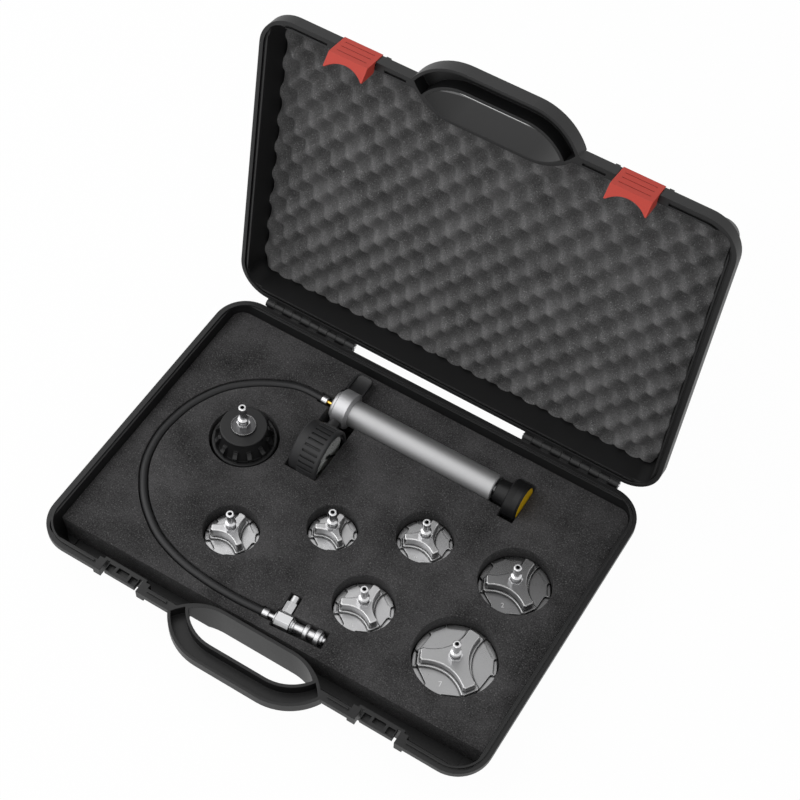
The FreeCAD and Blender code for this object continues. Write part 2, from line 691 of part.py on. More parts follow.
def rounded_path(points, report=None):
    """Straight runs joined by the largest tangent arcs that the runs allow."""
    edges = []
    here = points[0]
    for before, corner, after in zip(points, points[1:], points[2:]):
        back, on = before - corner, after - corner
        turn = math.pi - back.getAngle(on)
        reach = 0.45 * min(back.Length, on.Length)
        radius = reach / math.tan(turn / 2)
        back.normalize()
        on.normalize()
        p, q = corner + back * reach, corner + on * reach
        middle = back + on
        middle.normalize()
        m = corner + middle * (radius / math.cos(turn / 2) - radius)
        edges += [Part.LineSegment(here, p).toShape(), Part.Arc(p, m, q).toShape()]
        here = q
        if report is not None:
            report.append(radius)
    edges.append(Part.LineSegment(here, points[-1]).toShape())
    return Part.Wire(edges)


def make_hose():
    radii = []
    path = rounded_path(hose_points(), radii)
    start = path.Edges[0]
    way = start.tangentAt(start.FirstParameter)
    section = Part.Wire(Part.makeCircle(HOSE_R, start.valueAt(start.FirstParameter), way))
    tube = path.makePipeShell([section], True, False)
    print("hose radii", [round(r) for r in radii], "length", round(path.Length, 1),
          "volume ratio", round(tube.Volume / (math.pi * HOSE_R ** 2 * path.Length), 4))
    node("hose", tube)


def hose_groove():
    path = rounded_path(hose_points())
    start = path.Edges[0]
    p = start.valueAt(start.FirstParameter)
    way = start.tangentAt(start.FirstParameter)
    across = way.cross(V(0, 0, 1))
    across.normalize()
    half = HOSE_R + GROOVE_SIDE
    low = V(0, 0, -HOSE_R - GROOVE_UNDER)
    high = V(0, 0, BASE_H - HOSE_Z)
    corners = [p - across * half + low, p + across * half + low,
               p + across * half + high, p - across * half + high]
    section = Part.makePolygon(corners + corners[:1])
    return path.makePipeShell([section], True, False)


# ---------------------------------------------------------------- relief valve and coupler
def tee(x, y=0.0, z=0.0):
    """A point in the coupler's own frame: x along it from the hose's end, y to its left."""
    a = math.radians(TEE_TURN)
    return V(TEE_X + x * math.cos(a) - y * math.sin(a), TEE_Y + x * math.sin(a) + y * math.cos(a),
             HOSE_Z + z)


TEE_WAY = V(math.cos(math.radians(TEE_TURN)), math.sin(math.radians(TEE_TURN)), 0)
TEE_SIDE = V(-math.sin(math.radians(TEE_TURN)), math.cos(math.radians(TEE_TURN)), 0)


def along_tee(profile):
    return turned(profile, tee(0), TEE_WAY)


def make_valve():
    f0 = FERRULE_OVER - FERRULE_L
    f1 = FERRULE_OVER
    wrap = HOSE_R + 0.02
    tail = HOSE_R - 1.2
    node("ferrule_valve", along_tee([(f0, wrap), (f0, FERRULE_R), (f1, FERRULE_R), (f1, tail),
                                     (0.02, tail), (0.02, wrap)]))
    half = VALVE_AF / 2
    c = VALVE_CHAMFER
    outline = [(-half, -half + c), (-half + c, -half), (half - c, -half), (half, -half + c),
               (half, half - c), (half - c, half), (-half + c, half), (-half, half - c)]
    end = VALVE_FROM + VALVE_L
    step = VALVE_END_T + VALVE_GROOVE
    corners = [tee(VALVE_FROM + step, y, z) for y, z in outline]
    block = Part.Face(Part.makePolygon(corners + corners[:1])).extrude(TEE_WAY * (VALVE_L - 2 * step))
    deep = VALVE_END_R - VALVE_GROOVE
    core = along_tee([
        (f1 + 0.02, 0), (f1 + 0.02, tail), (VALVE_FROM, tail), (VALVE_FROM, VALVE_END_R),
        (VALVE_FROM + VALVE_END_T, VALVE_END_R), (VALVE_FROM + VALVE_END_T, deep),
        (end - VALVE_END_T, deep), (end - VALVE_END_T, VALVE_END_R), (end, VALVE_END_R), (end, 0)])
    bore_r = NUT_AF / 2 - 0.3
    bore = rod(bore_r, tee(RELIEF_X, half - RELIEF_SEAT), tee(RELIEF_X, half + 1))
    node("valve_body", block.fuse(core).cut(bore))
    top = half + NUT_L
    nut = hexagon(NUT_AF, tee(RELIEF_X, half), tee(RELIEF_X, top), 30)
    spigot = rod(bore_r - 0.1, tee(RELIEF_X, half + 0.1 - RELIEF_SEAT), tee(RELIEF_X, half + 0.5))
    floor = top - RELIEF_TRAVEL - 4
    way = rod(RELIEF_R + SLIP, tee(RELIEF_X, floor), tee(RELIEF_X, top + 1))
    node("relief_nut", nut.fuse(spigot).cut(way))
    inner = floor + RELIEF_TRAVEL + 0.2
    outer = top + RELIEF_L
    profile = [(inner, 0), (inner, RELIEF_R), (outer - 0.6, RELIEF_R), (outer, RELIEF_R - 0.6), (outer, 0)]
    node("relief_stem", turned(profile, tee(RELIEF_X), TEE_SIDE))


def make_coupler():
    x0 = VALVE_FROM + VALVE_L
    c0, c1 = x0 + COLLAR_FROM, x0 + COLLAR_FROM + COLLAR_L
    end = x0 + COUPLER_L
    r = COUPLER_R
    wide, step = r + COUPLER_STEP, x0 + COUPLER_STEP_L
    body = [(x0, 0), (x0, wide), (step, wide), (step, r), (c0, r), (c0, COLLAR_R - 0.5),
            (c0 + 0.5, COLLAR_R), (c1 - 0.5, COLLAR_R), (c1, COLLAR_R - 0.5), (c1, r), (end, r), (end, 0)]
    tip_bore = rod(TIP_R, tee(end - TIP_SEAT), tee(end + 1))
    node("coupler_body", along_tee(body).cut(tip_bore))
    s0 = x0 + SLEEVE_FROM
    s1 = s0 + SLEEVE_RING_L
    s2 = s1 + SLEEVE_NOSE_L
    bore = r + SLIP
    nose_bore = TIP_R + 0.5
    stop = end + SLEEVE_TRAVEL + 0.3
    sleeve = [(s0, bore), (s0, SLEEVE_R - 0.6), (s0 + 0.6, SLEEVE_R), (s1 - 0.6, SLEEVE_R),
              (s1, SLEEVE_R - 0.6), (s1, SLEEVE_NOSE_R), (s2, SLEEVE_NOSE_R), (s2, nose_bore),
              (stop, nose_bore), (stop, bore)]
    node("coupler_sleeve", along_tee(sleeve))
    t0, t1 = end - TIP_SEAT + 0.1, end - TIP_SEAT + TIP_L
    tip = [(t0, 0), (t0, TIP_R - 0.02), (t1 - 0.8, TIP_R - 0.02), (t1, TIP_R - 0.8), (t1, TIP_BORE),
           (t1 - 5, TIP_BORE), (t1 - 5, 0)]
    node("coupler_tip", along_tee(tip))


# ---------------------------------------------------------------- pump
def on_pump(profile):
    return turned(profile, V(0, PUMP_Y, AXIS_Z), V(1, 0, 0))


def make_pump():
    edge = HEAD_RIGHT - HEAD_BEVEL_L
    head = on_pump([
        (HEAD_LEFT, 0), (HEAD_LEFT, HEAD_NOSE_R - 1.5), (HEAD_LEFT + 1.5, HEAD_NOSE_R),
        (HEAD_RING, HEAD_NOSE_R), (HEAD_RING, HEAD_R - 1.0), (HEAD_RING + 1.0, HEAD_R), (edge, HEAD_R),
        (HEAD_RIGHT, HEAD_BEVEL_R), (HEAD_RIGHT, TUBE_R + 0.05), (HEAD_FLOOR, TUBE_R + 0.05),
        (HEAD_FLOOR, 0)])
    front = PUMP_Y - HEAD_R
    stem_bore = rod(STEM_R - 1.0, V(HEAD_MIDDLE, front - 1, AXIS_Z), V(HEAD_MIDDLE, front + 4, AXIS_Z))
    barb_bore = rod(BARB_R + 0.05, V(HEAD_LEFT - 1, PUMP_Y, HOSE_Z), V(HEAD_LEFT + 4, PUMP_Y, HOSE_Z))
    node("pump_head", head.cut([stem_bore, barb_bore]))
    left = HEAD_FLOOR + 0.1
    bore = TUBE_R - TUBE_WALL
    node("pump_tube", on_pump([(left, bore), (left, TUBE_R), (TUBE_END - TUBE_ROUND, TUBE_R),
                               (TUBE_END, TUBE_R - TUBE_ROUND), (TUBE_END, bore)]))
    p0 = HEAD_FLOOR + STROKE_END
    p1 = p0 + PISTON_L
    guide = ring(bore - 0.05, ROD_R + SLIP, p1 + STROKE + 0.5, TUBE_END - GUIDE_IN,
                 V(0, PUMP_Y, AXIS_Z), V(1, 0, 0))
    node("rod_guide", guide)
    seat = p0 + (PISTON_L - SEAL_W) / 2
    deep = bore - 2.4
    wide = bore - PISTON_GAP
    node("piston", on_pump([(p0, 0), (p0, wide), (seat, wide), (seat, deep), (seat + SEAL_W, deep),
                            (seat + SEAL_W, wide), (p1, wide), (p1, ROD_R - 1), (p1 - 5, ROD_R - 1),
                            (p1 - 5, 0)]))
    node("piston_seal", on_pump([(seat + 0.1, deep + 0.05), (seat + 0.1, bore - 0.05),
                                 (seat + SEAL_W - 0.1, bore - 0.05), (seat + SEAL_W - 0.1, deep + 0.05)]))
    rod_end = KNOB_LEFT + KNOB_SEAT
    node("pump_rod", on_pump([(p1 - 4.9, 0), (p1 - 4.9, ROD_R - 1.05), (p1 + 0.1, ROD_R - 1.05),
                              (p1 + 0.1, ROD_R), (rod_end, ROD_R), (rod_end, 0)]))
    middle = (KNOB_FLANGE + KNOB_RIGHT) / 2
    recess = KNOB_RIGHT - DISC_T
    node("pump_knob", on_pump([
        (KNOB_LEFT, ROD_R + 0.05), (KNOB_LEFT, KNOB_NECK_R0 - 0.8), (KNOB_LEFT + 0.8, KNOB_NECK_R0),
        (KNOB_FLANGE, KNOB_NECK_R1), (KNOB_FLANGE, KNOB_R - 1.5), (KNOB_FLANGE + 1.5, KNOB_R),
        (middle, KNOB_R - KNOB_WAIST), (KNOB_RIGHT - 2.0, KNOB_R), (KNOB_RIGHT, KNOB_R - 2.0),
        (KNOB_RIGHT, DISC_R + 0.05), (recess, DISC_R + 0.05), (recess, 0), (rod_end + 0.1, 0),
        (rod_end + 0.1, ROD_R + 0.05)]))
    node("knob_disc", on_pump([(recess + 0.05, 0), (recess + 0.05, DISC_R), (KNOB_RIGHT - 0.3, DISC_R),
                               (KNOB_RIGHT + 0.1, DISC_R - 0.6), (KNOB_RIGHT + 0.1, 0)]))
    make_tab()


def make_tab():
    """The thumb tab that stands off the pump's head towards the hinges, hollowed on top."""
    x = HEAD_MIDDLE
    top = AXIS_Z + TAB_TOP
    y0 = PUMP_Y + HEAD_R
    y1 = y0 + TAB_L
    half = TAB_W / 2
    tab = prism(rounded(x - half, x + half, PUMP_Y, y1, TAB_R, top - TAB_T), TAB_T)
    rim = half - TAB_RIM
    dish = prism(rounded(x - rim, x + rim, PUMP_Y, y1 - TAB_RIM, TAB_R - TAB_RIM, top - TAB_T), 2 * TAB_T)
    low = V(x - half, y0 + TAB_DISH_FROM, top - TAB_DISH + TAB_DISH_R)
    dish = dish.common(rod(TAB_DISH_R, low, low + V(TAB_W, 0, 0)))
    barrel = rod(HEAD_R + 0.05, V(x - TAB_W, PUMP_Y, AXIS_Z), V(x + TAB_W, PUMP_Y, AXIS_Z))
    node("head_tab", tab.cut([dish, barrel]))


# ---------------------------------------------------------------- gauge
def on_gauge(profile):
    return turned(profile, V(0, GAUGE_Y, AXIS_Z), V(1, 0, 0))


def make_gauge():
    guard_in = GUARD_BACK_R - GUARD_T
    hole = guard_in - GUARD_HOLE
    lip = GAUGE_R - GUARD_LIP
    lip_back = GAUGE_FRONT - GUARD_LIP_T
    base = GAUGE_R - GUARD_RIB_H
    guard = on_gauge([
        (GAUGE_BACK, hole), (GAUGE_BACK, GUARD_BACK_R - 1.5), (GAUGE_BACK + 1.5, GUARD_BACK_R),
        (GUARD_RIB_FROM, GUARD_BACK_R), (GUARD_RIB_FROM, base), (GUARD_RIB_TO, base),
        (GUARD_RIB_TO, GAUGE_R), (GAUGE_FRONT - 1.5, GAUGE_R), (GAUGE_FRONT, GAUGE_R - 1.5),
        (GAUGE_FRONT, lip), (lip_back, lip), (lip_back, guard_in), (GAUGE_BACK + 2, guard_in),
        (GAUGE_BACK + 2, hole)])
    ribs = []
    for k in range(GUARD_RIBS):
        rib = box(GUARD_RIB_FROM - 0.2, GUARD_RIB_TO + 0.2, -GUARD_RIB_W / 2, GUARD_RIB_W / 2,
                  base - 1, GAUGE_R - 0.1)
        rib.translate(V(0, GAUGE_Y, AXIS_Z))
        rib.rotate(V(0, GAUGE_Y, AXIS_Z), V(1, 0, 0), 360.0 * (k + 0.5) / GUARD_RIBS)
        ribs.append(rib)
    stem_way = rod(STEM_R + 0.1, V(HEAD_MIDDLE, GAUGE_Y, AXIS_Z),
                   V(HEAD_MIDDLE, GAUGE_Y + GAUGE_R + 2, AXIS_Z))
    node("gauge_guard", fuse([guard] + ribs).cut(stem_way))
    case_r = guard_in - 0.1
    inner = case_r - CASE_WALL
    dial = GAUGE_FRONT - DIAL_IN
    case = on_gauge([
        (GAUGE_BACK + 2.1, 0), (GAUGE_BACK + 2.1, case_r), (lip_back - 0.1, case_r),
        (lip_back - 0.1, inner), (dial - 1, inner), (dial - 1, 0)])
    case_top = GAUGE_Y + case_r
    neck = STEM_R - 1.5
    socket = rod(neck + 0.1, V(HEAD_MIDDLE, case_top - 6, AXIS_Z), V(HEAD_MIDDLE, case_top + 2, AXIS_Z))
    node("gauge_case", case.cut(socket))
    dial_back = dial - 0.95
    dial_face = dial_back + DIAL_T
    node("gauge_dial", on_gauge([(dial_back, 0), (dial_back, inner - 0.1), (dial_face, inner - 0.1),
                                 (dial_face, 0)]))
    lens_back = GAUGE_FRONT - LENS_IN - LENS_T
    node("gauge_lens", on_gauge([(lens_back, 0), (lens_back, inner - 0.1), (lens_back + LENS_T, inner - 0.1),
                                 (lens_back + LENS_T, 0)]))
    make_pointer(dial_face + POINTER_GAP)
    y0 = case_top - 5.9
    y1 = PUMP_Y - HEAD_R
    stem = turned([(y0, 0), (y0, neck), (case_top + 0.1, neck), (case_top + 0.1, STEM_R), (y1 - 0.1, STEM_R),
                   (y1 - 0.1, STEM_R - 1.1), (y1 + 3.8, STEM_R - 1.1), (y1 + 3.8, 0)],
                  V(HEAD_MIDDLE, 0, AXIS_Z), V(0, 1, 0))
    node("gauge_stem", stem)


def make_pointer(x):
    """A tapered needle with a short tail on a round hub."""
    points = [(-POINTER_TAIL, -1.6), (-POINTER_TAIL, 1.6), (0, 1.5), (POINTER_L - 1, 0.5),
              (POINTER_L, 0), (POINTER_L - 1, -0.5), (0, -1.5)]
    wire = Part.makePolygon([V(x, a, b) for a, b in points + points[:1]])
    needle = Part.Face(wire).extrude(V(POINTER_T, 0, 0))
    needle = needle.fuse(rod(HUB_R, V(x, 0, 0), V(x + HUB_H, 0, 0)))
    needle.rotate(V(0, 0, 0), V(1, 0, 0), POINTER_REST)
    needle.translate(V(0, GAUGE_Y, AXIS_Z))
    node("gauge_pointer", needle)


# ---------------------------------------------------------------- hose fittings at the pump
def make_pump_fitting():
    def on_hose(profile):
        return turned(profile, V(0, PUMP_Y, HOSE_Z), V(1, 0, 0))

    start = HOSE_START
    collar = HEAD_LEFT - 4
    node("hose_barb", on_hose([(start + 0.05, 0), (start + 0.05, BARB_R - 0.4), (collar, BARB_R - 0.4),
                               (collar, BARB_R + 1.2), (HEAD_LEFT - 0.1, BARB_R + 1.2),
                               (HEAD_LEFT - 0.1, BARB_R), (HEAD_LEFT + 3.9, BARB_R), (HEAD_LEFT + 3.9, 0)]))
    f1 = start + FERRULE_OVER
    f0 = f1 - FERRULE_L
    wrap = HOSE_R + 0.05
    node("ferrule_pump", on_hose([(f0, wrap), (f0, FERRULE_R), (f1, FERRULE_R), (f1, BARB_R),
                                  (start + 0.1, BARB_R), (start + 0.1, wrap)]))


# ---------------------------------------------------------------- adapters
def nipple(x, y, seat, spigot, height):
    """A quick-coupler plug: hexagon, two necks, collar and hollow nose, with its spigot below."""
    foot = V(x, y, seat)
    low, high = SHOULDER
    bevel, nose = NIPPLE_BEVEL, height - NOSE_L
    profile = [(-spigot, 0), (-spigot, SPIGOT_R), (HEX_H, SPIGOT_R), (HEX_H, NECK_R), (low - bevel, NECK_R),
               (low, SHOULDER_R), (high, SHOULDER_R), (high + 2 * bevel, GROOVE_R),
               (nose - 2 * bevel, GROOVE_R), (nose, NOSE_R), (height - bevel, NOSE_R),
               (height, NOSE_R - bevel), (height, NIPPLE_BORE), (HEX_H, NIPPLE_BORE), (HEX_H, 0)]
    shape = turned(profile, foot, V(0, 0, 1))
    return shape.fuse(hexagon(HEX_AF, foot, foot + V(0, 0, HEX_H), 30))


def star(x, y, r, turn, z0, z1, foot=0.0):
    """Three raised arms with hollow sides between them."""
    reach = r - ARM_SHORT + foot * r
    half = (ARM_HALF + foot) * r - ARM_HALF_LESS
    waist = (ARM_WAIST + foot) * r - ARM_WAIST_LESS

    def at(a, along, across):
        c, s = math.cos(math.radians(a)), math.sin(math.radians(a))
        return V(x + along * c - across * s, y + along * s + across * c, z0)

    edges = []
    cut = ARM_CORNER * r
    for k in range(3):
        a, b = turn + 90 + 120 * k, turn + 90 + 120 * (k + 1)
        edges += [Part.LineSegment(at(a, reach - cut, -half), at(a, reach, -half + cut)),
                  Part.LineSegment(at(a, reach, -half + cut), at(a, reach, half - cut)),
                  Part.LineSegment(at(a, reach, half - cut), at(a, reach - cut, half)),
                  Part.Arc(at(a, reach - cut, half), at(a + 60, waist, 0), at(b, reach - cut, -half))]
    arms = prism(Part.Wire([e.toShape() for e in edges]), z1 - z0)
    top = [e for e in arms.Edges if min(v.Z for v in e.Vertexes) > z1 - 0.01]
    return arms.makeChamfer(CAP_BEVEL, top)


def rim_notch(foot, r, middle, angle, deep):
    """What is milled out of a cap's rim between two ribs: flat at the back, with round corners."""
    h = math.radians(angle / 2)
    back = r - deep
    side = V(math.cos(h), math.sin(h), 0)
    near = (back - NOTCH_RIB / 2 * side.y) / side.x
    corner = V(back, near * side.y - NOTCH_RIB / 2 * side.x, 0)
    slack = min(NOTCH_R / math.tan((math.pi / 2 + h) / 2), 0.9 * corner.y)
    on_back = corner - V(0, slack, 0)
    on_side = corner + side * slack
    inwards = on_side + on_back - corner * 2
    inwards.normalize()
    radius = slack * math.tan((math.pi / 2 + h) / 2)
    arc_middle = corner + inwards * (math.hypot(radius, slack) - radius)
    far = corner + side * (r + 2 - near)

    def low(p):
        return V(p.x, -p.y, 0)

    edges = [Part.LineSegment(low(on_back), on_back), Part.Arc(on_back, arc_middle, on_side),
             Part.LineSegment(on_side, far), Part.LineSegment(far, low(far)),
             Part.LineSegment(low(far), low(on_side)), Part.Arc(low(on_side), low(arc_middle), low(on_back))]
    notch = prism(Part.Wire([e.toShape() for e in edges]), CAP_TOP + 1 - CAP_LEDGE)
    notch.rotate(V(0, 0, 0), V(0, 0, 1), middle)
    notch.translate(foot + V(0, 0, CAP_LEDGE))
    return notch


def adapter_cap(x, y, r, turn, height):
    z = REST_Z
    foot = V(x, y, z)
    up = V(0, 0, 1)
    bore = SPIGOT_R + SPIGOT_CLEAR
    cap = turned([(CAP_CEILING, bore), (CAP_CEILING, r - CAP_SKIRT), (0, r - CAP_SKIRT),
                  (0, r - CAP_BEVEL), (CAP_BEVEL, r), (CAP_TOP - CAP_BEVEL, r), (CAP_TOP, r - CAP_BEVEL),
                  (CAP_TOP, bore)], foot, up)
    step = 360.0 / CAP_NOTCHES
    cuts = []
    for k in range(CAP_NOTCHES):
        middle = turn + k * step
        if k == NOTCH_PLAIN:
            continue
        if k % 2:
            cuts.append(rim_notch(foot, r, middle, NOTCH_NARROW, NOTCH_NARROW_DEEP))
        else:
            cuts.append(rim_notch(foot, r, middle, 2 * step - NOTCH_NARROW, NOTCH_WIDE_DEEP))
    arms = star(x, y, r, turn, z + CAP_TOP - ARM_SINK, z + height)
    low = star(x, y, r, turn, z + CAP_TOP - ARM_SINK, z + CAP_STEP, ARM_FOOT)
    way = rod(bore, foot, foot + up * (height + 1))
    return fuse([cap.cut(cuts), low, arms]).cut(way)


def make_adapters():
    for number, (across, along, r, turn, height) in enumerate(ADAPTERS, 1):
        x, y = across * HALF_W, along * HALF_D
        foot = V(x, y, REST_Z)
        node("adapter_%d_cap" % number, adapter_cap(x, y, r, turn, height))
        node("adapter_%d_nipple" % number,
             nipple(x, y, REST_Z + height + SEAT_GAP, height - CAP_CEILING, NIPPLE_H))
        out = r - CAP_SKIRT - SEAL_SLIP
        top = CAP_CEILING - SEAL_SLIP
        node("adapter_%d_seal" % number, ring(out, out - SEAL_SPAN, top - SEAL_T, top, foot, V(0, 0, 1)))


def make_black_adapter():
    foot = V(BLACK_X, BLACK_Y, REST_Z)
    up = V(0, 0, 1)
    top = BLACK_TOP
    disc = top - BLACK_DISC_T
    inner = BLACK_SKIRT_R - BLACK_WALL
    ceiling = BLACK_SKIRT_H - BLACK_CEILING_T
    bore = SPIGOT_R + SPIGOT_CLEAR
    body = turned([
        (ceiling, bore), (ceiling, inner), (0, inner), (0, BLACK_SKIRT_R - 1), (1, BLACK_SKIRT_R),
        (BLACK_SKIRT_H - 1, BLACK_SKIRT_R), (BLACK_SKIRT_H, BLACK_SKIRT_R - 1),
        (BLACK_SKIRT_H, BLACK_SKIRT_R - 1 - BLACK_LIP), (BLACK_SKIRT_H - 1, BLACK_BODY_R0),
        (disc, BLACK_BODY_R1 - 1.5), (disc, BLACK_DISC_R - 0.8), (disc + 0.8, BLACK_DISC_R),
        (top - 0.8, BLACK_DISC_R), (top, BLACK_DISC_R - 0.8), (top, bore)], foot, up)
    lugs = []
    for k in range(BLACK_LUGS):
        lug = box(BLACK_BODY_R1 - 3, BLACK_LUG_OUT, -BLACK_LUG_W / 2, BLACK_LUG_W / 2, 0, BLACK_LUG_H)
        slope_at = V(BLACK_LUG_OUT + 9, -BLACK_LUG_W, BLACK_LUG_H + 6)
        slope = rod(BLACK_LUG_H * 1.2, slope_at, slope_at + V(0, 2 * BLACK_LUG_W, 0))
        lug = lug.cut(slope)
        lug.translate(foot + up * (BLACK_SKIRT_H - 1.5))
        lug.rotate(foot, up, 360.0 * (k + 0.5) / BLACK_LUGS)
        lugs.append(lug)
    way = rod(bore, foot, foot + up * (top + 1))
    node("adapter_black_cap", fuse([body] + lugs).cut(way))
    seat = top + SEAT_GAP
    plate = top + WASHER_T
    node("adapter_black_washer", turned([
        (seat, SPIGOT_R + 0.1), (seat, WASHER_R), (plate + WASHER_RIM_H, WASHER_R),
        (plate + WASHER_RIM_H, WASHER_R - WASHER_RIM_W), (plate, WASHER_R - WASHER_RIM_W),
        (plate, SPIGOT_R + 0.1)], foot, up))
    node("adapter_black_nipple", nipple(BLACK_X, BLACK_Y, REST_Z + plate + SEAT_GAP, plate - ceiling,
                                        BLACK_NIPPLE_H))
    out = inner - SEAL_SLIP
    node("adapter_black_seal", ring(out, out - SEAL_SPAN - 1, ceiling - SEAL_T - SEAL_SLIP,
                                    ceiling - SEAL_SLIP, foot, up))


# ---------------------------------------------------------------- foam
def pocket(x, y, r):
    return Part.makeCylinder(r, BASE_H, V(x, y, FLOOR - 5))


def tee_pocket(x0, x1, y0, y1, depth):
    """A straight-sided pocket in the coupler's frame, open upwards."""
    corners = [tee(x0, y0, -depth), tee(x1, y0, -depth), tee(x1, y1, -depth), tee(x0, y1, -depth)]
    return Part.Face(Part.makePolygon(corners + corners[:1])).extrude(V(0, 0, BASE_H))


def make_base_foam():
    """The foam block: it follows the walls on three sides and has a pocket for every piece."""
    c = FOAM_CLEAR
    top = FOAM_Z

    def section(z):
        side = RIM_W + BASE_SIDE_SLOPE * (BASE_H - z) + c
        return rounded(side - HALF_W, HALF_W - side, -HALF_D, HALF_D - side, WALL_R - WALL, z)

    block = loft([section(FLOOR + c), section(top)])
    corners = [V(-HALF_W, FOAM_SHORT_LEFT - HALF_D, 0), V(HALF_W, FOAM_SHORT_RIGHT - HALF_D, 0),
               V(HALF_W, HALF_D, 0), V(-HALF_W, HALF_D, 0)]
    block = block.common(prism(Part.makePolygon(corners + corners[:1]), BASE_H))
    room = TUBE_R + CUT_GAP
    head = HEAD_R + CUT_GAP
    over = BASE_H + 5
    notch = KNOB_R + KNOB_ROOM
    tab = TAB_W / 2
    valve_end = VALVE_FROM + VALVE_L
    tip_end = valve_end + COUPLER_L - TIP_SEAT + TIP_L
    stem_end = VALVE_AF / 2 + NUT_L + RELIEF_L
    cuts = [
        box(HEAD_RIGHT, KNOB_FLANGE + 2, PUMP_Y - room, PUMP_Y + room, AXIS_Z - room, over),
        box(KNOB_FLANGE - CUT_GAP, KNOB_RIGHT + CUT_GAP, PUMP_Y - notch, PUMP_Y + notch,
            AXIS_Z - KNOB_R - 1, over),
        box(POCKET_LEFT, HEAD_RIGHT + 2, PUMP_Y - head, PUMP_Y + head, AXIS_Z - head, over),
        box(HEAD_MIDDLE - tab - TAB_ROOM, HEAD_MIDDLE + tab + 1, PUMP_Y, PUMP_Y + HEAD_R + TAB_L + CUT_GAP,
            FOAM_Z - TAB_CUT, over),
        box(POCKET_LEFT, GAUGE_FRONT + CUT_GAP, GAUGE_Y - GAUGE_R - CUT_GAP, PUMP_Y - 5, FLOOR - 1, over),
        box(HOSE_START - 8, HEAD_LEFT, PUMP_Y - 6.5, PUMP_Y + 6.5, HOSE_Z - FERRULE_R - CUT_GAP, over),
        hose_groove(),
        pocket(BLACK_X, BLACK_Y, BLACK_SKIRT_R + BLACK_POCKET_GAP),
        tee_pocket(-FERRULE_L, VALVE_FROM, -6, 6, FERRULE_R + TEE_ROOM),
        tee_pocket(VALVE_FROM - 1.5, valve_end + 1, -VALVE_AF / 2 - TEE_ROOM_FRONT, VALVE_AF / 2 + TEE_ROOM,
                   VALVE_AF / 2 + TEE_ROOM),
        tee_pocket(valve_end, tip_end + 0.5, -SLEEVE_R - TEE_ROOM_FRONT, SLEEVE_R + TEE_ROOM,
                   SLEEVE_R + TEE_ROOM),
        tee_pocket(RELIEF_X - NUT_AF / 2 - 1.2, RELIEF_X + NUT_AF / 2 + 1.2, 0, stem_end + 1.5,
                   NUT_AF / 2 + TEE_ROOM + 1.2),
    ]
    cuts += [pocket(share_x * HALF_W, share_y * HALF_D, r + POCKET_GAP)
             for share_x, share_y, r, turn, height in ADAPTERS]
    for cut in cuts:
        block = block.cut(cut)
    node("base_foam", block)


def egg_crate(mean, back):
    """A sheet with bumps and hollows by turns on its lower face, each a low pyramid."""
    step_x, step_y = EGG_X / 2, EGG_Y / 2
    columns = math.ceil(CASE_W / step_x) + 1
    rows = math.ceil(CASE_D / step_y) + 1
    x0 = EGG_SIDE - HALF_W - 1.5 * step_x
    y1 = HALF_D - EGG_BACK + 3.5 * step_y
    y0 = y1 - rows * step_y

    def corner(i, j):
        return V(x0 + i * step_x, y0 + j * step_y, mean)

    faces = []
    for i in range(columns):
        for j in range(rows):
            bump = (i - 1 + rows - 1 - j - 3) % 2 == 0
            apex = corner(i + 0.5, j + 0.5) + V(0, 0, -EGG_H if bump else EGG_H)
            around = [corner(i, j), corner(i + 1, j), corner(i + 1, j + 1), corner(i, j + 1)]
            for p, q in zip(around, around[1:] + around[:1]):
                faces.append(Part.Face(Part.makePolygon([p, q, apex, p])))
    edge = ([corner(i, 0) for i in range(columns)] + [corner(columns, j) for j in range(rows)]
            + [corner(i, rows) for i in range(columns, 0, -1)] + [corner(0, j) for j in range(rows, 0, -1)])
    lift = V(0, 0, back - mean)
    for p, q in zip(edge, edge[1:] + edge[:1]):
        faces.append(Part.Face(Part.makePolygon([p, q, q + lift, p + lift, p])))
    faces.append(Part.Face(Part.makePolygon([p + lift for p in edge + edge[:1]])))
    shell = Part.makeShell(faces)
    shell.sewShape()
    sheet = Part.makeSolid(shell)
    if sheet.Volume < 0:
        sheet.reverse()
    return sheet


def make_lid_foam():
    c = FOAM_CLEAR
    base = LID_H - WALL - c

    def section(z, narrower):
        side = RIM_W + LID_SIDE_SLOPE * z + c + narrower
        front = RIM_W + LID_FRONT_SLOPE * z + c
        return rounded(side - HALF_W, HALF_W - side, front - HALF_D, HALF_D - side, WALL_R - WALL, z)

    foam = loft([section(base, LID_FOAM_EDGE), section(LID_FOAM_FACE - LID_FOAM_DEEP, c)])
    foam = foam.common(egg_crate(LID_FOAM_FACE, LID_H))
    foam = foam.cut(prism(grip_outline(-c - 0.2, 0), LID_H))
    foam.translate(V(0, 0, RIM_GAP / 2))
    node("lid_foam", open_lid(foam))


def main():
    make_case()
    make_pump()
    make_gauge()
    make_pump_fitting()
    make_hose()
    make_valve()
    make_coupler()
    make_adapters()
    make_black_adapter()
    make_base_foam()
    make_lid_foam()
    os.makedirs("parts", exist_ok=True)
    for name, shape in NODES.items():
        shape.exportStep("parts/%s.step" % name)
    print(len(NODES), "nodes", sum(len(s.Solids) for s in NODES.values()), "solids")


main()
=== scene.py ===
# Its base holds a block of foam with a cut-out for each tool, and its lid is lined with egg-crate
# foam. The shapes that fit, turn and slide are already solved as a rigid frame. What is left for
# this lesson is everything that the eye reads: soft foam, the finish of each surface, the print
# on the dial, and the light.

import math
import json

import bpy
from mathutils import Matrix, Vector


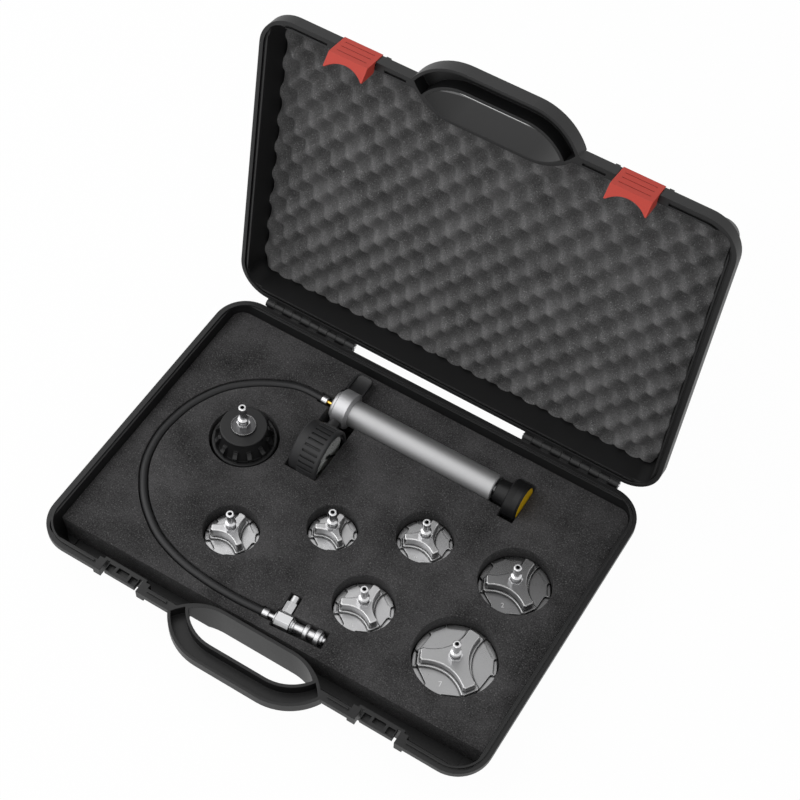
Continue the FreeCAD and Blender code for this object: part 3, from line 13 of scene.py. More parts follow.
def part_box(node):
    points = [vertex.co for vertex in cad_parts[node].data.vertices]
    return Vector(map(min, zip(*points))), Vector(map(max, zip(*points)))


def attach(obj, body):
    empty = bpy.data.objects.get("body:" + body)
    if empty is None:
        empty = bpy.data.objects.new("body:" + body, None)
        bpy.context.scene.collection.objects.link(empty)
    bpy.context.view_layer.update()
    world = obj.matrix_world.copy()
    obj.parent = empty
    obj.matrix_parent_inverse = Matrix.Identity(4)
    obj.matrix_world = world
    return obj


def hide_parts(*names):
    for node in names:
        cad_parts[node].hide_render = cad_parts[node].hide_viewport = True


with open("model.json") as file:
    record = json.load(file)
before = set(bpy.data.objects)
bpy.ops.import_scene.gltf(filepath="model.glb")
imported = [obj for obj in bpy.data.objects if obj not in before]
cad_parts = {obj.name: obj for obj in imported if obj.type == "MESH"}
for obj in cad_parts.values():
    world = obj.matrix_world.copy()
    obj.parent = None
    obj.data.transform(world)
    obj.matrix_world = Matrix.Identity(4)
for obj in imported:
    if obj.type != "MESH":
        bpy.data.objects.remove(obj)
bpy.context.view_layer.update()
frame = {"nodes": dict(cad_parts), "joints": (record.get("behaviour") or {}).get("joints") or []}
nodes = frame["nodes"]
joints = {joint["name"]: joint for joint in frame["joints"]}
bpy.ops.object.select_all(action="DESELECT")
MM = 0.001

# %% [markdown]
# ## The camera
#
# A long lens, high up and a little to the right, looks down on the case. The lens is given by its
# focal length on a 36 mm wide sensor. The camera's three axes are written as the rows of a
# rotation: where right, down and forward point in the case's own frame.

# %% Camera
CAMERA_AT = Vector((0.4660, -0.7474, 1.5265))
CAMERA_RIGHT = Vector((0.8517, 0.5231, 0.0321))
CAMERA_DOWN = Vector((0.4472, -0.6935, -0.5649))
FOCAL_LENGTH = 81.57
SENSOR_WIDTH = 36.0
NEAREST_SEEN = 0.05

bpy.ops.object.camera_add()
camera = bpy.context.object
camera.name = "camera"
right = CAMERA_RIGHT.normalized()
forward = CAMERA_RIGHT.cross(CAMERA_DOWN).normalized()
up = forward.cross(right) * -1
turn = Matrix((right, up, -forward)).transposed()
camera.matrix_world = Matrix.Translation(CAMERA_AT) @ turn.to_4x4()
camera.data.lens = FOCAL_LENGTH
camera.data.sensor_width = SENSOR_WIDTH
camera.data.clip_start = NEAREST_SEEN
bpy.context.scene.camera = camera
print("camera looks along", tuple(round(v, 3) for v in forward))

# %% [markdown]
# ## Studio light
#
# The case stands in a white room. What lights a surface is kept apart from what the eye sees: to
# the camera, to a mirror and through clear plastic the world is pure white, but it gives only
# about half as much light. So metal picks up a clean white sky and the dark lid, which is what
# makes it look like metal, and a dark colour comes out about as it is written.

# %% World
WORLD_FOR_LIGHT = 0.50


def white_to_the_eye(tree, light_path):
    """1 for what the camera, a mirror or clear plastic sees, 0 for what lights a surface."""
    seen = tree.nodes.new("ShaderNodeMath")
    seen.operation = "MAXIMUM"
    clear = tree.nodes.new("ShaderNodeMath")
    clear.operation = "MAXIMUM"
    tree.links.new(light_path.outputs["Is Camera Ray"], seen.inputs[0])
    tree.links.new(light_path.outputs["Is Glossy Ray"], seen.inputs[1])
    tree.links.new(seen.outputs[0], clear.inputs[0])
    tree.links.new(light_path.outputs["Is Transmission Ray"], clear.inputs[1])
    return clear.outputs[0]


scene = bpy.context.scene
scene.view_settings.view_transform = "Standard"

world = bpy.data.worlds.new("white_room")
scene.world = world
world.use_nodes = True
tree = world.node_tree
tree.nodes.clear()
out = tree.nodes.new("ShaderNodeOutputWorld")
sky = tree.nodes.new("ShaderNodeBackground")
sky.inputs["Color"].default_value = (1, 1, 1, 1)
light_path = tree.nodes.new("ShaderNodeLightPath")
level = tree.nodes.new("ShaderNodeMapRange")
level.inputs["To Min"].default_value = WORLD_FOR_LIGHT
level.inputs["To Max"].default_value = 1.0
tree.links.new(white_to_the_eye(tree, light_path), level.inputs["Value"])
tree.links.new(level.outputs[0], sky.inputs["Strength"])
tree.links.new(sky.outputs[0], out.inputs["Surface"])
print("world:", WORLD_FOR_LIGHT, "for light and 1 to the eye")

# %% [markdown]
# Light from all sides alone would leave the foam flat. A large soft lamp on the left shades its
# waves, and a weaker one in front lifts the front walls and the handle.

# %% Lamps
KEY_AT, KEY_AIM, KEY_SIZE, KEY_POWER = (-1.5, -0.5, 1.7), (0, 0.05, 0.1), 2.6, 33
FRONT_AT, FRONT_AIM, FRONT_SIZE, FRONT_POWER = (0.6, -2.2, 1.1), (0, 0.1, 0.2), 1.6, 7


def soft_lamp(name, at, look_at, size, power):
    """A square area lamp at one point, turned to another."""
    bpy.ops.object.light_add(type="AREA", location=at)
    lamp = bpy.context.object
    lamp.name = name
    lamp.data.shape = "SQUARE"
    lamp.data.size = size
    lamp.data.energy = power
    way = Vector(look_at) - Vector(at)
    lamp.rotation_euler = way.to_track_quat("-Z", "Y").to_euler()
    lamp.visible_camera = False


soft_lamp("key_lamp", KEY_AT, KEY_AIM, KEY_SIZE, KEY_POWER)
soft_lamp("front_lamp", FRONT_AT, FRONT_AIM, FRONT_SIZE, FRONT_POWER)
print("lamps:", len(bpy.data.lights), "of", KEY_POWER, "and", FRONT_POWER, "watts")

# %% [markdown]
# The floor glows to the eye as the world does, so that the two run together. A small share of
# plain paint stays in the mix, and that share holds the object's shadow.

# %% Floor
FLOOR_SIZE = 8.0
FLOOR_GLOW = 0.975
FLOOR_PAINT = 0.90

bpy.ops.mesh.primitive_plane_add(size=FLOOR_SIZE, location=(0, 0, 0))
floor = bpy.context.object
floor.name = "floor"
floor_finish = bpy.data.materials.new("floor_white")
floor_finish.use_nodes = True
tree = floor_finish.node_tree
tree.nodes.clear()
out = tree.nodes.new("ShaderNodeOutputMaterial")
mix = tree.nodes.new("ShaderNodeMixShader")
paint = tree.nodes.new("ShaderNodeBsdfDiffuse")
paint.inputs["Color"].default_value = (FLOOR_PAINT, FLOOR_PAINT, FLOOR_PAINT, 1)
glow = tree.nodes.new("ShaderNodeEmission")
glow.inputs["Strength"].default_value = 1.0
light_path = tree.nodes.new("ShaderNodeLightPath")
seen = white_to_the_eye(tree, light_path)
share = tree.nodes.new("ShaderNodeMath")
share.operation = "MULTIPLY"
share.inputs[1].default_value = FLOOR_GLOW
tree.links.new(seen, share.inputs[0])
tree.links.new(share.outputs[0], mix.inputs[0])
tree.links.new(paint.outputs[0], mix.inputs[1])
tree.links.new(glow.outputs[0], mix.inputs[2])
tree.links.new(mix.outputs[0], out.inputs["Surface"])
floor.data.materials.append(floor_finish)
print("floor:", FLOOR_SIZE, "m wide")

# %% [markdown]
# ## Effects that several finishes share
#
# Real surfaces are never one flat value. Two node groups carry that: *surface grain* makes a fine
# mottle that changes colour, roughness and height together, and *edge highlight and corner shade*
# finds the edges, where moulded plastic and machined metal are rounded, and gives the masks for a
# painted highlight on outer edges and painted shade in inner corners. First come two small helpers
# that make a group and a math node.

# %% Helpers for nodes
FLOAT = "NodeSocketFloat"
COLOR = "NodeSocketColor"
VECTOR = "NodeSocketVector"


def new_group(name, inputs, outputs):
    """An empty node group with named sockets: (name, kind, default)."""
    group = bpy.data.node_groups.new(name, "ShaderNodeTree")
    for label, kind, value in inputs:
        socket = group.interface.new_socket(label, in_out="INPUT", socket_type=kind)
        socket.default_value = value
    for label, kind in outputs:
        group.interface.new_socket(label, in_out="OUTPUT", socket_type=kind)
    return group, group.nodes.new("NodeGroupInput"), group.nodes.new("NodeGroupOutput")


def maths(tree, kind, a, b=0.0, c=0.0):
    """A math node with values or sockets as its inputs; gives its output socket."""
    node = tree.nodes.new("ShaderNodeMath")
    node.operation = kind
    for socket, value in zip(node.inputs, (a, b, c)):
        if isinstance(value, (int, float)):
            socket.default_value = value
        else:
            tree.links.new(value, socket)
    return node.outputs[0]


print("socket kinds:", FLOAT, COLOR, VECTOR)

# %% [markdown]
# The grain is fine noise added to broad noise. Its swing round the middle scales the colour and
# moves the roughness, and the fine noise alone is given out as a height, so that the bump, the
# colour and the gloss of a spot always belong together.

# %% Surface grain
def build_surface_grain():
    """Fine noise on broad noise: a mottle for colour and roughness, and a height for bump."""
    group, into, out = new_group(
        "surface_grain",
        [("Color", COLOR, (0.5, 0.5, 0.5, 1)), ("Tone", FLOAT, 0.1),
         ("Roughness", FLOAT, 0.5), ("Roughness Spread", FLOAT, 0.1),
         ("Grain Per Metre", FLOAT, 900.0), ("Patch Per Metre", FLOAT, 18.0)],
        [("Color", COLOR), ("Roughness", FLOAT), ("Height", FLOAT)])
    place = group.nodes.new("ShaderNodeTexCoord")
    fine = group.nodes.new("ShaderNodeTexNoise")
    fine.inputs["Detail"].default_value = 3.0
    patch = group.nodes.new("ShaderNodeTexNoise")
    patch.inputs["Detail"].default_value = 4.0
    for noise, label in ((fine, "Grain Per Metre"), (patch, "Patch Per Metre")):
        group.links.new(place.outputs["Object"], noise.inputs["Vector"])
        group.links.new(into.outputs[label], noise.inputs["Scale"])
    both = maths(group, "ADD", fine.outputs["Fac"], patch.outputs["Fac"])
    swing = maths(group, "SUBTRACT", both, 1.0)
    tone = maths(group, "MULTIPLY_ADD", swing, into.outputs["Tone"], 1.0)
    tint = group.nodes.new("ShaderNodeVectorMath")
    tint.operation = "SCALE"
    group.links.new(into.outputs["Color"], tint.inputs[0])
    group.links.new(tone, tint.inputs["Scale"])
    rough = maths(group, "MULTIPLY_ADD", swing, into.outputs["Roughness Spread"],
                  into.outputs["Roughness"])
    group.links.new(tint.outputs[0], out.inputs["Color"])
    group.links.new(rough, out.inputs["Roughness"])
    group.links.new(fine.outputs["Fac"], out.inputs["Height"])
    return group


SURFACE_GRAIN = build_surface_grain()
print("group:", SURFACE_GRAIN.name)

# %% [markdown]
# The Bevel node gives the normal that a rounded edge would have. Where it departs from the true
# normal there is an edge. Ambient occlusion within the piece tells an inner corner from an outer
# edge: the outer edge gets a painted highlight and the inner corner painted shade.

# %% Edge touch
EDGE_STARTS, EDGE_FULL = 0.995, 0.80
CORNER_STARTS, CORNER_FULL = 0.95, 0.55
EDGE_SAMPLES = 4


def build_edge_highlight_and_corner_shade():
    """Rounds the edges for the light, and gives masks for a painted highlight on outer edges and
    for painted shade in inner corners.
    """
    group, into, out = new_group(
        "edge_highlight_and_corner_shade", [("Radius", FLOAT, 0.0005), ("Corner", FLOAT, 0.0020)],
        [("Edge", FLOAT), ("Corner Shade", FLOAT), ("Normal", VECTOR)])
    bevel = group.nodes.new("ShaderNodeBevel")
    bevel.samples = EDGE_SAMPLES
    group.links.new(into.outputs["Radius"], bevel.inputs["Radius"])
    shape = group.nodes.new("ShaderNodeNewGeometry")
    dot = group.nodes.new("ShaderNodeVectorMath")
    dot.operation = "DOT_PRODUCT"
    group.links.new(bevel.outputs[0], dot.inputs[0])
    group.links.new(shape.outputs["Normal"], dot.inputs[1])
    edge = group.nodes.new("ShaderNodeMapRange")
    edge.inputs["From Min"].default_value = EDGE_STARTS
    edge.inputs["From Max"].default_value = EDGE_FULL
    group.links.new(dot.outputs["Value"], edge.inputs["Value"])
    nook = group.nodes.new("ShaderNodeAmbientOcclusion")
    nook.samples = EDGE_SAMPLES
    nook.only_local = True
    group.links.new(into.outputs["Corner"], nook.inputs["Distance"])
    closed = group.nodes.new("ShaderNodeMapRange")
    closed.inputs["From Min"].default_value = CORNER_STARTS
    closed.inputs["From Max"].default_value = CORNER_FULL
    group.links.new(nook.outputs["AO"], closed.inputs["Value"])
    free = maths(group, "SUBTRACT", 1.0, closed.outputs[0])
    group.links.new(maths(group, "MULTIPLY", edge.outputs[0], free), out.inputs["Edge"])
    group.links.new(closed.outputs[0], out.inputs["Corner Shade"])
    group.links.new(bevel.outputs[0], out.inputs["Normal"])
    return group


EDGE_LIGHT_AND_SHADE = build_edge_highlight_and_corner_shade()
print("group:", EDGE_LIGHT_AND_SHADE.name)

# %% [markdown]
# ## Hard finishes
#
# Every hard material follows one recipe: grain for colour, roughness and a faint bump, the edge
# mask mixes in a lighter, smoother tone as a painted highlight, and inner corners are darkened with
# painted shade. Only the numbers differ, so one function builds them all. What is the same all
# over, such as how metallic a surface is, stays on the shader itself. Radius, corner and bump are
# lengths in metres.

# %% One recipe for plastic, rubber and metal
EDGE_HIGHLIGHT_GAIN, EDGE_HIGHLIGHT_LIFT = 1.6, 0.01


def add_group(tree, group, **values):
    """A node group placed in a tree, its inputs set by name."""
    node = tree.nodes.new("ShaderNodeGroup")
    node.node_tree = group
    for label, value in values.items():
        node.inputs[label.replace("_", " ")].default_value = value
    return node


def hard_finish(name, color, roughness, metallic=0.0, specular=0.5, tone=0.12, spread=0.12,
                grain=900.0, patch=18.0, bump=0.00002, edge_highlight_color=None, edge_radius=0.0005,
                edge_highlight_share=0.6, corner=0.002, corner_painted_shade=0.3):
    """A Principled material with grain, a painted highlight on the edges, painted shade in inner
    corners and a bump.
    """
    material = bpy.data.materials.new(name)
    material.use_nodes = True
    tree = material.node_tree
    shader = tree.nodes["Principled BSDF"]
    shader.inputs["Metallic"].default_value = metallic
    shader.inputs["Specular IOR Level"].default_value = specular
    texture = add_group(tree, SURFACE_GRAIN, Color=(*color, 1), Tone=tone, Roughness=roughness,
                        Roughness_Spread=spread, Grain_Per_Metre=grain, Patch_Per_Metre=patch)
    edges = add_group(tree, EDGE_LIGHT_AND_SHADE, Radius=edge_radius, Corner=corner)
    # The edge colour is a painted highlight, mixed in where the edge mask is.
    edge_highlight_color = edge_highlight_color or tuple(min(1.0, c * EDGE_HIGHLIGHT_GAIN + EDGE_HIGHLIGHT_LIFT) for c in color)
    mix = tree.nodes.new("ShaderNodeMix")
    mix.data_type = "RGBA"
    highlight_amount = maths(tree, "MULTIPLY", edges.outputs["Edge"], edge_highlight_share)
    tree.links.new(highlight_amount, mix.inputs["Factor"])
    tree.links.new(texture.outputs["Color"], mix.inputs["A"])
    mix.inputs["B"].default_value = (*edge_highlight_color, 1)
    shade = tree.nodes.new("ShaderNodeVectorMath")
    shade.operation = "SCALE"
    tree.links.new(mix.outputs["Result"], shade.inputs[0])
    # Inner corners are darkened by this factor: painted shade.
    kept = maths(tree, "MULTIPLY_ADD", edges.outputs["Corner Shade"], -corner_painted_shade, 1.0)
    tree.links.new(kept, shade.inputs["Scale"])
    relief = tree.nodes.new("ShaderNodeBump")
    relief.inputs["Distance"].default_value = bump
    tree.links.new(texture.outputs["Height"], relief.inputs["Height"])
    tree.links.new(edges.outputs["Normal"], relief.inputs["Normal"])
    tree.links.new(shade.outputs[0], shader.inputs["Base Color"])
    tree.links.new(texture.outputs["Roughness"], shader.inputs["Roughness"])
    tree.links.new(relief.outputs["Normal"], shader.inputs["Normal"])
    return material


print("recipe:", hard_finish.__doc__)

# %% [markdown]
# The case and the knobs are black moulded plastic, and the hose, the seals and the gauge's boot
# are rubber: nearly black, with a soft and rather dull shine. Edges get a lighter colour, a painted
# highlight, by themselves where no colour is given for them.

# %% Plastics and rubbers
case_plastic = hard_finish("case_plastic", (0.006, 0.006, 0.0063), 0.46, specular=0.38,
                           bump=0.00006, grain=1400, edge_radius=0.0009)
latch_plastic = hard_finish("latch_plastic", (0.50, 0.053, 0.036), 0.50, specular=0.3,
                            bump=0.00003, edge_highlight_color=(0.56, 0.10, 0.08))
hose_rubber = hard_finish("hose_rubber", (0.0158, 0.0158, 0.0167), 0.52, specular=0.36,
                          bump=0.00004, grain=1200)
guard_rubber = hard_finish("guard_rubber", (0.0193, 0.0193, 0.0202), 0.55, specular=0.34,
                           bump=0.00005, edge_radius=0.0008, corner_painted_shade=0.6)
seal_rubber = hard_finish("seal_rubber", (0.012, 0.012, 0.012), 0.60)
knob_plastic = hard_finish("knob_plastic", (0.006, 0.006, 0.0064), 0.45, specular=0.26,
                           bump=0.00003)
tab_plastic = hard_finish("tab_plastic", (0.010, 0.010, 0.0105), 0.34, specular=0.55,
                          bump=0.00003, edge_radius=0.0009)
adapter_plastic = hard_finish("adapter_plastic", (0.0072, 0.0072, 0.0076), 0.40, specular=0.35,
                              bump=0.00004, edge_radius=0.0009)
yellow_plastic = hard_finish("yellow_plastic", (0.86, 0.52, 0.005), 0.40, specular=0.3,
                             bump=0.00001)
piston_plastic = hard_finish("piston_plastic", (0.70, 0.69, 0.64), 0.4)
gauge_paint = hard_finish("gauge_paint", (0.012, 0.012, 0.0125), 0.40)
dial_white = hard_finish("dial_white", (0.75, 0.75, 0.73), 0.45, tone=0.03)
print_black = hard_finish("print_black", (0.012, 0.012, 0.012), 0.5)
print("finishes so far:", len(bpy.data.materials))

# %% [markdown]
# The metals differ mostly in how rough they are: the plugs are polished, the caps and fittings are
# machined, and the pump is satin anodised. The caps are one metal in three tones, a painted
# reflection of the part of the room that each one mirrors.

# %% Metals
# The edge colours below are painted highlights, and the corner darkening is painted shade.
steel = hard_finish("steel", (0.60, 0.60, 0.61), 0.28, metallic=1.0, bump=0.00001, patch=40)
tube_metal = hard_finish("tube_metal", (0.40, 0.40, 0.405), 0.56, metallic=1.0, tone=0.06,
                         spread=0.06, bump=0.00001)
head_metal = hard_finish("head_metal", (0.50, 0.50, 0.51), 0.52, metallic=1.0, tone=0.10,
                         grain=1500, bump=0.00005, edge_radius=0.0008,
                         edge_highlight_color=(0.72, 0.72, 0.72), corner_painted_shade=0.5)
# The caps' three tones are painted reflection: darker for the cap that mirrors the dark lid,
# lighter for those that mirror the white room. Their white edges are a painted highlight and their
# near-black corners painted shade.
CAP_PAINTED_TONE = {"cap_metal": 0.35, "cap_metal_painted_dark": 0.21, "cap_metal_painted_bright": 0.46}
cap_metal, cap_metal_painted_dark, cap_metal_painted_bright = [
    hard_finish(name, (tone, tone, tone * 1.01), 0.30, metallic=1.0, tone=0.25, grain=1300,
                patch=30, bump=0.00003, edge_radius=0.0009, edge_highlight_color=(1.0, 1.0, 1.0),
                edge_highlight_share=1.0, corner=0.0018, corner_painted_shade=0.97)
    for name, tone in CAP_PAINTED_TONE.items()]
plug_metal = hard_finish("plug_metal", (0.62, 0.62, 0.63), 0.24, metallic=1.0, tone=0.06,
                         bump=0.000006, edge_highlight_color=(0.95, 0.95, 0.95), edge_highlight_share=0.8,
                         corner_painted_shade=0.7)
fitting_metal = hard_finish("fitting_metal", (0.58, 0.58, 0.59), 0.34, metallic=1.0, tone=0.10,
                            grain=1500, bump=0.00003, edge_highlight_color=(0.85, 0.85, 0.85),
                            corner_painted_shade=0.7)
washer_metal = hard_finish("washer_metal", (0.10, 0.10, 0.102), 0.30, metallic=1.0, tone=0.08,
                           bump=0.00001, edge_radius=0.0004, edge_highlight_color=(0.9, 0.9, 0.9),
                           edge_highlight_share=0.9)
brass = hard_finish("brass", (0.78, 0.50, 0.10), 0.25, metallic=1.0, tone=0.08, bump=0.00001)
stamp_metal = hard_finish("stamp_metal", (0.65, 0.65, 0.65), 0.45, metallic=1.0)
print("finishes so far:", len(bpy.data.materials))

# %% [markdown]
# The gauge's window is clear plastic. Its transmission is a plain value on the shader, and the
# grain only touches the roughness, as fine scuffs do.

# %% Clear window
LENS_IOR = 1.45

lens_clear = bpy.data.materials.new("lens_clear")
lens_clear.use_nodes = True
glass = lens_clear.node_tree.nodes["Principled BSDF"]
glass.inputs["Base Color"].default_value = (0.97, 0.98, 0.98, 1)
glass.inputs["Transmission Weight"].default_value = 1.0
glass.inputs["IOR"].default_value = LENS_IOR
scuffs = add_group(lens_clear.node_tree, SURFACE_GRAIN, Roughness=0.05, Roughness_Spread=0.06)
lens_clear.node_tree.links.new(scuffs.outputs["Roughness"], glass.inputs["Roughness"])
print("hard finishes:", len(bpy.data.materials))

# %% [markdown]
# ## Dress the rigid pieces
#
# Each rigid piece of the frame keeps its shape and only gets its finish. A list from finish to
# pieces is easy to read and to change.

# %% Finishes on the frame's pieces
DRESS = {
    case_plastic: ["base_shell", "lid_shell"],
    latch_plastic: ["latch_left", "latch_right"],
    steel: ["hinge_pins", "latch_pins", "pump_rod"],
    tube_metal: ["pump_tube", "rod_guide"],
    head_metal: ["pump_head"],
    knob_plastic: ["pump_knob"],
    tab_plastic: ["head_tab"],
    piston_plastic: ["piston"],
    seal_rubber: ["piston_seal"],
    yellow_plastic: ["knob_disc"],
    guard_rubber: ["gauge_guard"],
    gauge_paint: ["gauge_case", "gauge_stem"],
    dial_white: ["gauge_dial"],
    print_black: ["gauge_pointer"],
    lens_clear: ["gauge_lens"],
    brass: ["hose_barb"],
    hose_rubber: ["hose"],
    fitting_metal: ["ferrule_pump", "ferrule_valve", "valve_body", "relief_nut", "relief_stem",
                    "coupler_body", "coupler_sleeve", "coupler_tip"],
    adapter_plastic: ["adapter_black_cap"],
    washer_metal: ["adapter_black_washer"],
    plug_metal: ["adapter_black_nipple"],
}

ADAPTERS = range(1, 7)
DRESS[cap_metal] = ["adapter_1_cap"]
DRESS[cap_metal_painted_dark] = ["adapter_2_cap"]
DRESS[cap_metal_painted_bright] = ["adapter_%d_cap" % k for k in ADAPTERS[2:]]
DRESS[plug_metal] += ["adapter_%d_nipple" % k for k in ADAPTERS]
DRESS[seal_rubber] += ["adapter_%d_seal" % k for k in ADAPTERS] + ["adapter_black_seal"]

for finish, names in DRESS.items():
    for name in names:
        mesh = nodes[name].data
        mesh.materials.clear()
        mesh.materials.append(finish)
print("dressed:", sum(len(names) for names in DRESS.values()), "pieces")

# %% [markdown]
# ## Print on the dial and stamped numbers
#
# Print is thin but it is there: letters and ticks are made as flat solids, a few hundredths of a
# millimetre proud of the face. Two helpers make them. One joins several objects into one, and one
# turns a short text into a mesh before its place is applied.

# %% Helpers for print
PRINT_T = 0.06 * MM
STROKES_JOIN = 0.001 * MM


def join_as(pieces, name, finish):
    """One object from several, with one finish, its origin at zero."""
    bpy.ops.object.select_all(action="DESELECT")
    for piece in pieces:
        piece.select_set(True)
    bpy.context.view_layer.objects.active = pieces[0]
    bpy.ops.object.join()
    piece = bpy.context.object
    bpy.ops.object.transform_apply(location=True, rotation=True, scale=True)
    piece.name = name
    piece.data.materials.clear()
    piece.data.materials.append(finish)
    return piece


def words(text, size, place, thickness):
    """A short text as a flat solid, laid on a place given by a matrix."""
    bpy.ops.object.select_all(action="DESELECT")
    bpy.ops.object.text_add(location=(0, 0, 0))
    piece = bpy.context.object
    piece.data.body = text
    piece.data.size = size
    piece.data.align_x = "CENTER"
    piece.data.align_y = "CENTER"
    piece.data.extrude = thickness
    piece.data.resolution_u = 3
    bpy.ops.object.convert(target="MESH")
    bpy.ops.object.mode_set(mode="EDIT")
    bpy.ops.mesh.select_all(action="SELECT")
    bpy.ops.mesh.remove_doubles(threshold=STROKES_JOIN)
    bpy.ops.mesh.normals_make_consistent(inside=False)
    bpy.ops.object.mode_set(mode="OBJECT")
    piece.data.transform(place)
    return piece


print("print stands", 2 * PRINT_T / MM, "mm thick")

# %% [markdown]
# The gauge's scale runs three quarters of a turn. Each tick is a thin bar that is modelled at the
# middle, moved out to the scale and turned about the pointer's axis, and every tenth one is longer
# and has its number beside it.

# %% Marks on the dial
DIAL_AT = Vector(joints["pointer_turn"]["pos_m"])
DIAL_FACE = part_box("gauge_dial")[1][0]
DIAL_START = 315.0
DIAL_SWEEP = 270.0
DIAL_STEPS = 40
STEPS_PER_NUMBER = 10
TICK_OUT = 20.5 * MM
TICK_LONG, TICK_SHORT = 3.6 * MM, 2.0 * MM
TICK_WIDE, TICK_NARROW = 0.7 * MM, 0.35 * MM
NUMBER_AT = 13.5 * MM
NUMBER_SIZE = 5.0 * MM


def on_dial(angle, radius):
    """A place on the dial's face, its up towards the stem's far side."""
    a = math.radians(angle)
    axes = Matrix(((0, 0, 1), (0, -1, 0), (1, 0, 0)))
    at = Vector((DIAL_FACE, DIAL_AT.y + radius * math.cos(a), DIAL_AT.z + radius * math.sin(a)))
    return Matrix.Translation(at) @ axes.to_4x4()


marks = []
for step in range(DIAL_STEPS + 1):
    angle = DIAL_START - DIAL_SWEEP * step / DIAL_STEPS
    numbered = step % STEPS_PER_NUMBER == 0
    length = TICK_LONG if numbered else TICK_SHORT
    wide = TICK_WIDE if numbered else TICK_NARROW
    bpy.ops.object.select_all(action="DESELECT")
    bpy.ops.mesh.primitive_cube_add(size=1, location=(0, 0, 0))
    tick = bpy.context.object
    shape = Matrix.Diagonal((2 * PRINT_T, length, wide, 1))
    out = Matrix.Translation((0, TICK_OUT - length / 2, 0))
    turned = Matrix.Rotation(math.radians(angle), 4, "X")
    centre = Matrix.Translation((DIAL_FACE, DIAL_AT.y, DIAL_AT.z))
    tick.data.transform(centre @ turned @ out @ shape)
    marks.append(tick)
    if numbered:
        number = str(step // STEPS_PER_NUMBER)
        marks.append(words(number, NUMBER_SIZE, on_dial(angle, NUMBER_AT), PRINT_T))
dial_marks = join_as(marks, "dial_marks", print_black)
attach(dial_marks, "tester")
print("dial marks:", len(marks), "pieces of print")

# %% Numbers on the caps
CAP_DIGITS = {1: "7", 2: "2", 3: "1", 4: "6", 5: "3", 6: "5"}
DIGIT_SIZE = {1: 7.5, 2: 7.0, 3: 5.6, 4: 5.4, 5: 5.2, 6: 4.8}
DISC_TOP = 19.0 * MM
DIGIT_OUT = 0.67
DIGIT_TURN = 31.0

for k in ADAPTERS:
    low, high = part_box("adapter_%d_cap" % k)
    radius = (high[0] - low[0]) / 2
    middle = Vector(((low[0] + high[0]) / 2, (low[1] + high[1]) / 2, DISC_TOP))
    at = middle + Vector((0, -radius * DIGIT_OUT, 0))
    place = Matrix.Translation(at) @ Matrix.Rotation(math.radians(DIGIT_TURN), 4, "Z")
    number = words(CAP_DIGITS[k], DIGIT_SIZE[k] * MM, place, PRINT_T)
    digit = join_as([number], "cap_%d_number" % k, stamp_metal)
    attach(digit, "adapter_%d" % k)
print("numbers on the caps:", list(CAP_DIGITS.values()))

# %% [markdown]
# ## Work on the lid while it is shut
#
# The lid stands open at a slant, and a slanted piece is awkward to model. What belongs to the lid
# is made with the lid shut, where it lies level, and is turned open about the hinge at the end.

# %% Shut and open
hinge = joints["lid_hinge"]
HINGE_AT = Vector(hinge["pos_m"])
SHUT_ANGLE = math.radians(hinge["range_deg"][1])
swing = Matrix.Rotation(SHUT_ANGLE, 4, "X")
to_shut = Matrix.Translation(HINGE_AT) @ swing @ Matrix.Translation(-HINGE_AT)
to_open = to_shut.inverted()
LID_TOP = max((to_shut @ v.co).z for v in nodes["lid_shell"].data.vertices)
print("the shut case is", round(LID_TOP / MM, 2), "mm high")

# %% [markdown]
# ## Gussets in the corners
#
# The bevel round the foot of each half cuts into the inside of its rounded corners and leaves a
# thin slit there. A low quarter cone on the floor of every corner closes it. It starts as a whole
# cone, and two bisects leave one quarter of it. Bringing it to its corner can mirror it, so the
# normals are set again.

# %% Corner gussets
GUSSET_LOW, GUSSET_HIGH = 11.7 * MM, 14.8 * MM
GUSSET_T = 2.4 * MM
GUSSET_MIDDLE = 3.2 * MM
GUSSET_SIDES = 96
BASE_CENTRES = (213.27 * MM, -131.84 * MM, 142.87 * MM)
LID_CENTRES = (211.49 * MM, -127.2 * MM, 141.09 * MM)


def quarter_cone(x, y, z, up):
    """A quarter of a low cone that widens away from the outside, for the corner at x, y."""
    bpy.ops.object.select_all(action="DESELECT")
    bpy.ops.mesh.primitive_cone_add(vertices=GUSSET_SIDES, radius1=GUSSET_LOW,
                                    radius2=GUSSET_HIGH, depth=GUSSET_T, location=(0, 0, 0))
    piece = bpy.context.object
    bpy.ops.object.mode_set(mode="EDIT")
    for axis in ((1, 0, 0), (0, 1, 0)):
        bpy.ops.mesh.select_all(action="SELECT")
        bpy.ops.mesh.bisect(plane_co=(0, 0, 0), plane_no=axis, use_fill=True, clear_inner=True)
    bpy.ops.object.mode_set(mode="OBJECT")
    turned = Matrix.Diagonal((math.copysign(1, x), math.copysign(1, y), up, 1))
    piece.data.transform(Matrix.Translation((x, y, z)) @ turned)
    bpy.ops.object.mode_set(mode="EDIT")
    bpy.ops.mesh.select_all(action="SELECT")
    bpy.ops.mesh.normals_make_consistent(inside=False)
    bpy.ops.object.mode_set(mode="OBJECT")
    return piece


def corner_gussets(name, body, centres, z, up, place):
    """The four gussets of one half as one piece, from where its corners have their centres."""
    side_x, front_y, back_y = centres
    corners = [(side * side_x, y) for side in (-1, 1) for y in (front_y, back_y)]
    piece = join_as([quarter_cone(x, y, z, up) for x, y in corners], name, case_plastic)
    piece.data.transform(place)
    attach(piece, body)
    print(name, "on", body, "with", len(piece.data.polygons), "faces")


corner_gussets("base_gussets", "case_base", BASE_CENTRES, GUSSET_MIDDLE, 1, Matrix.Identity(4))
corner_gussets("lid_gussets", "lid", LID_CENTRES, LID_TOP - GUSSET_MIDDLE, -1, to_open)

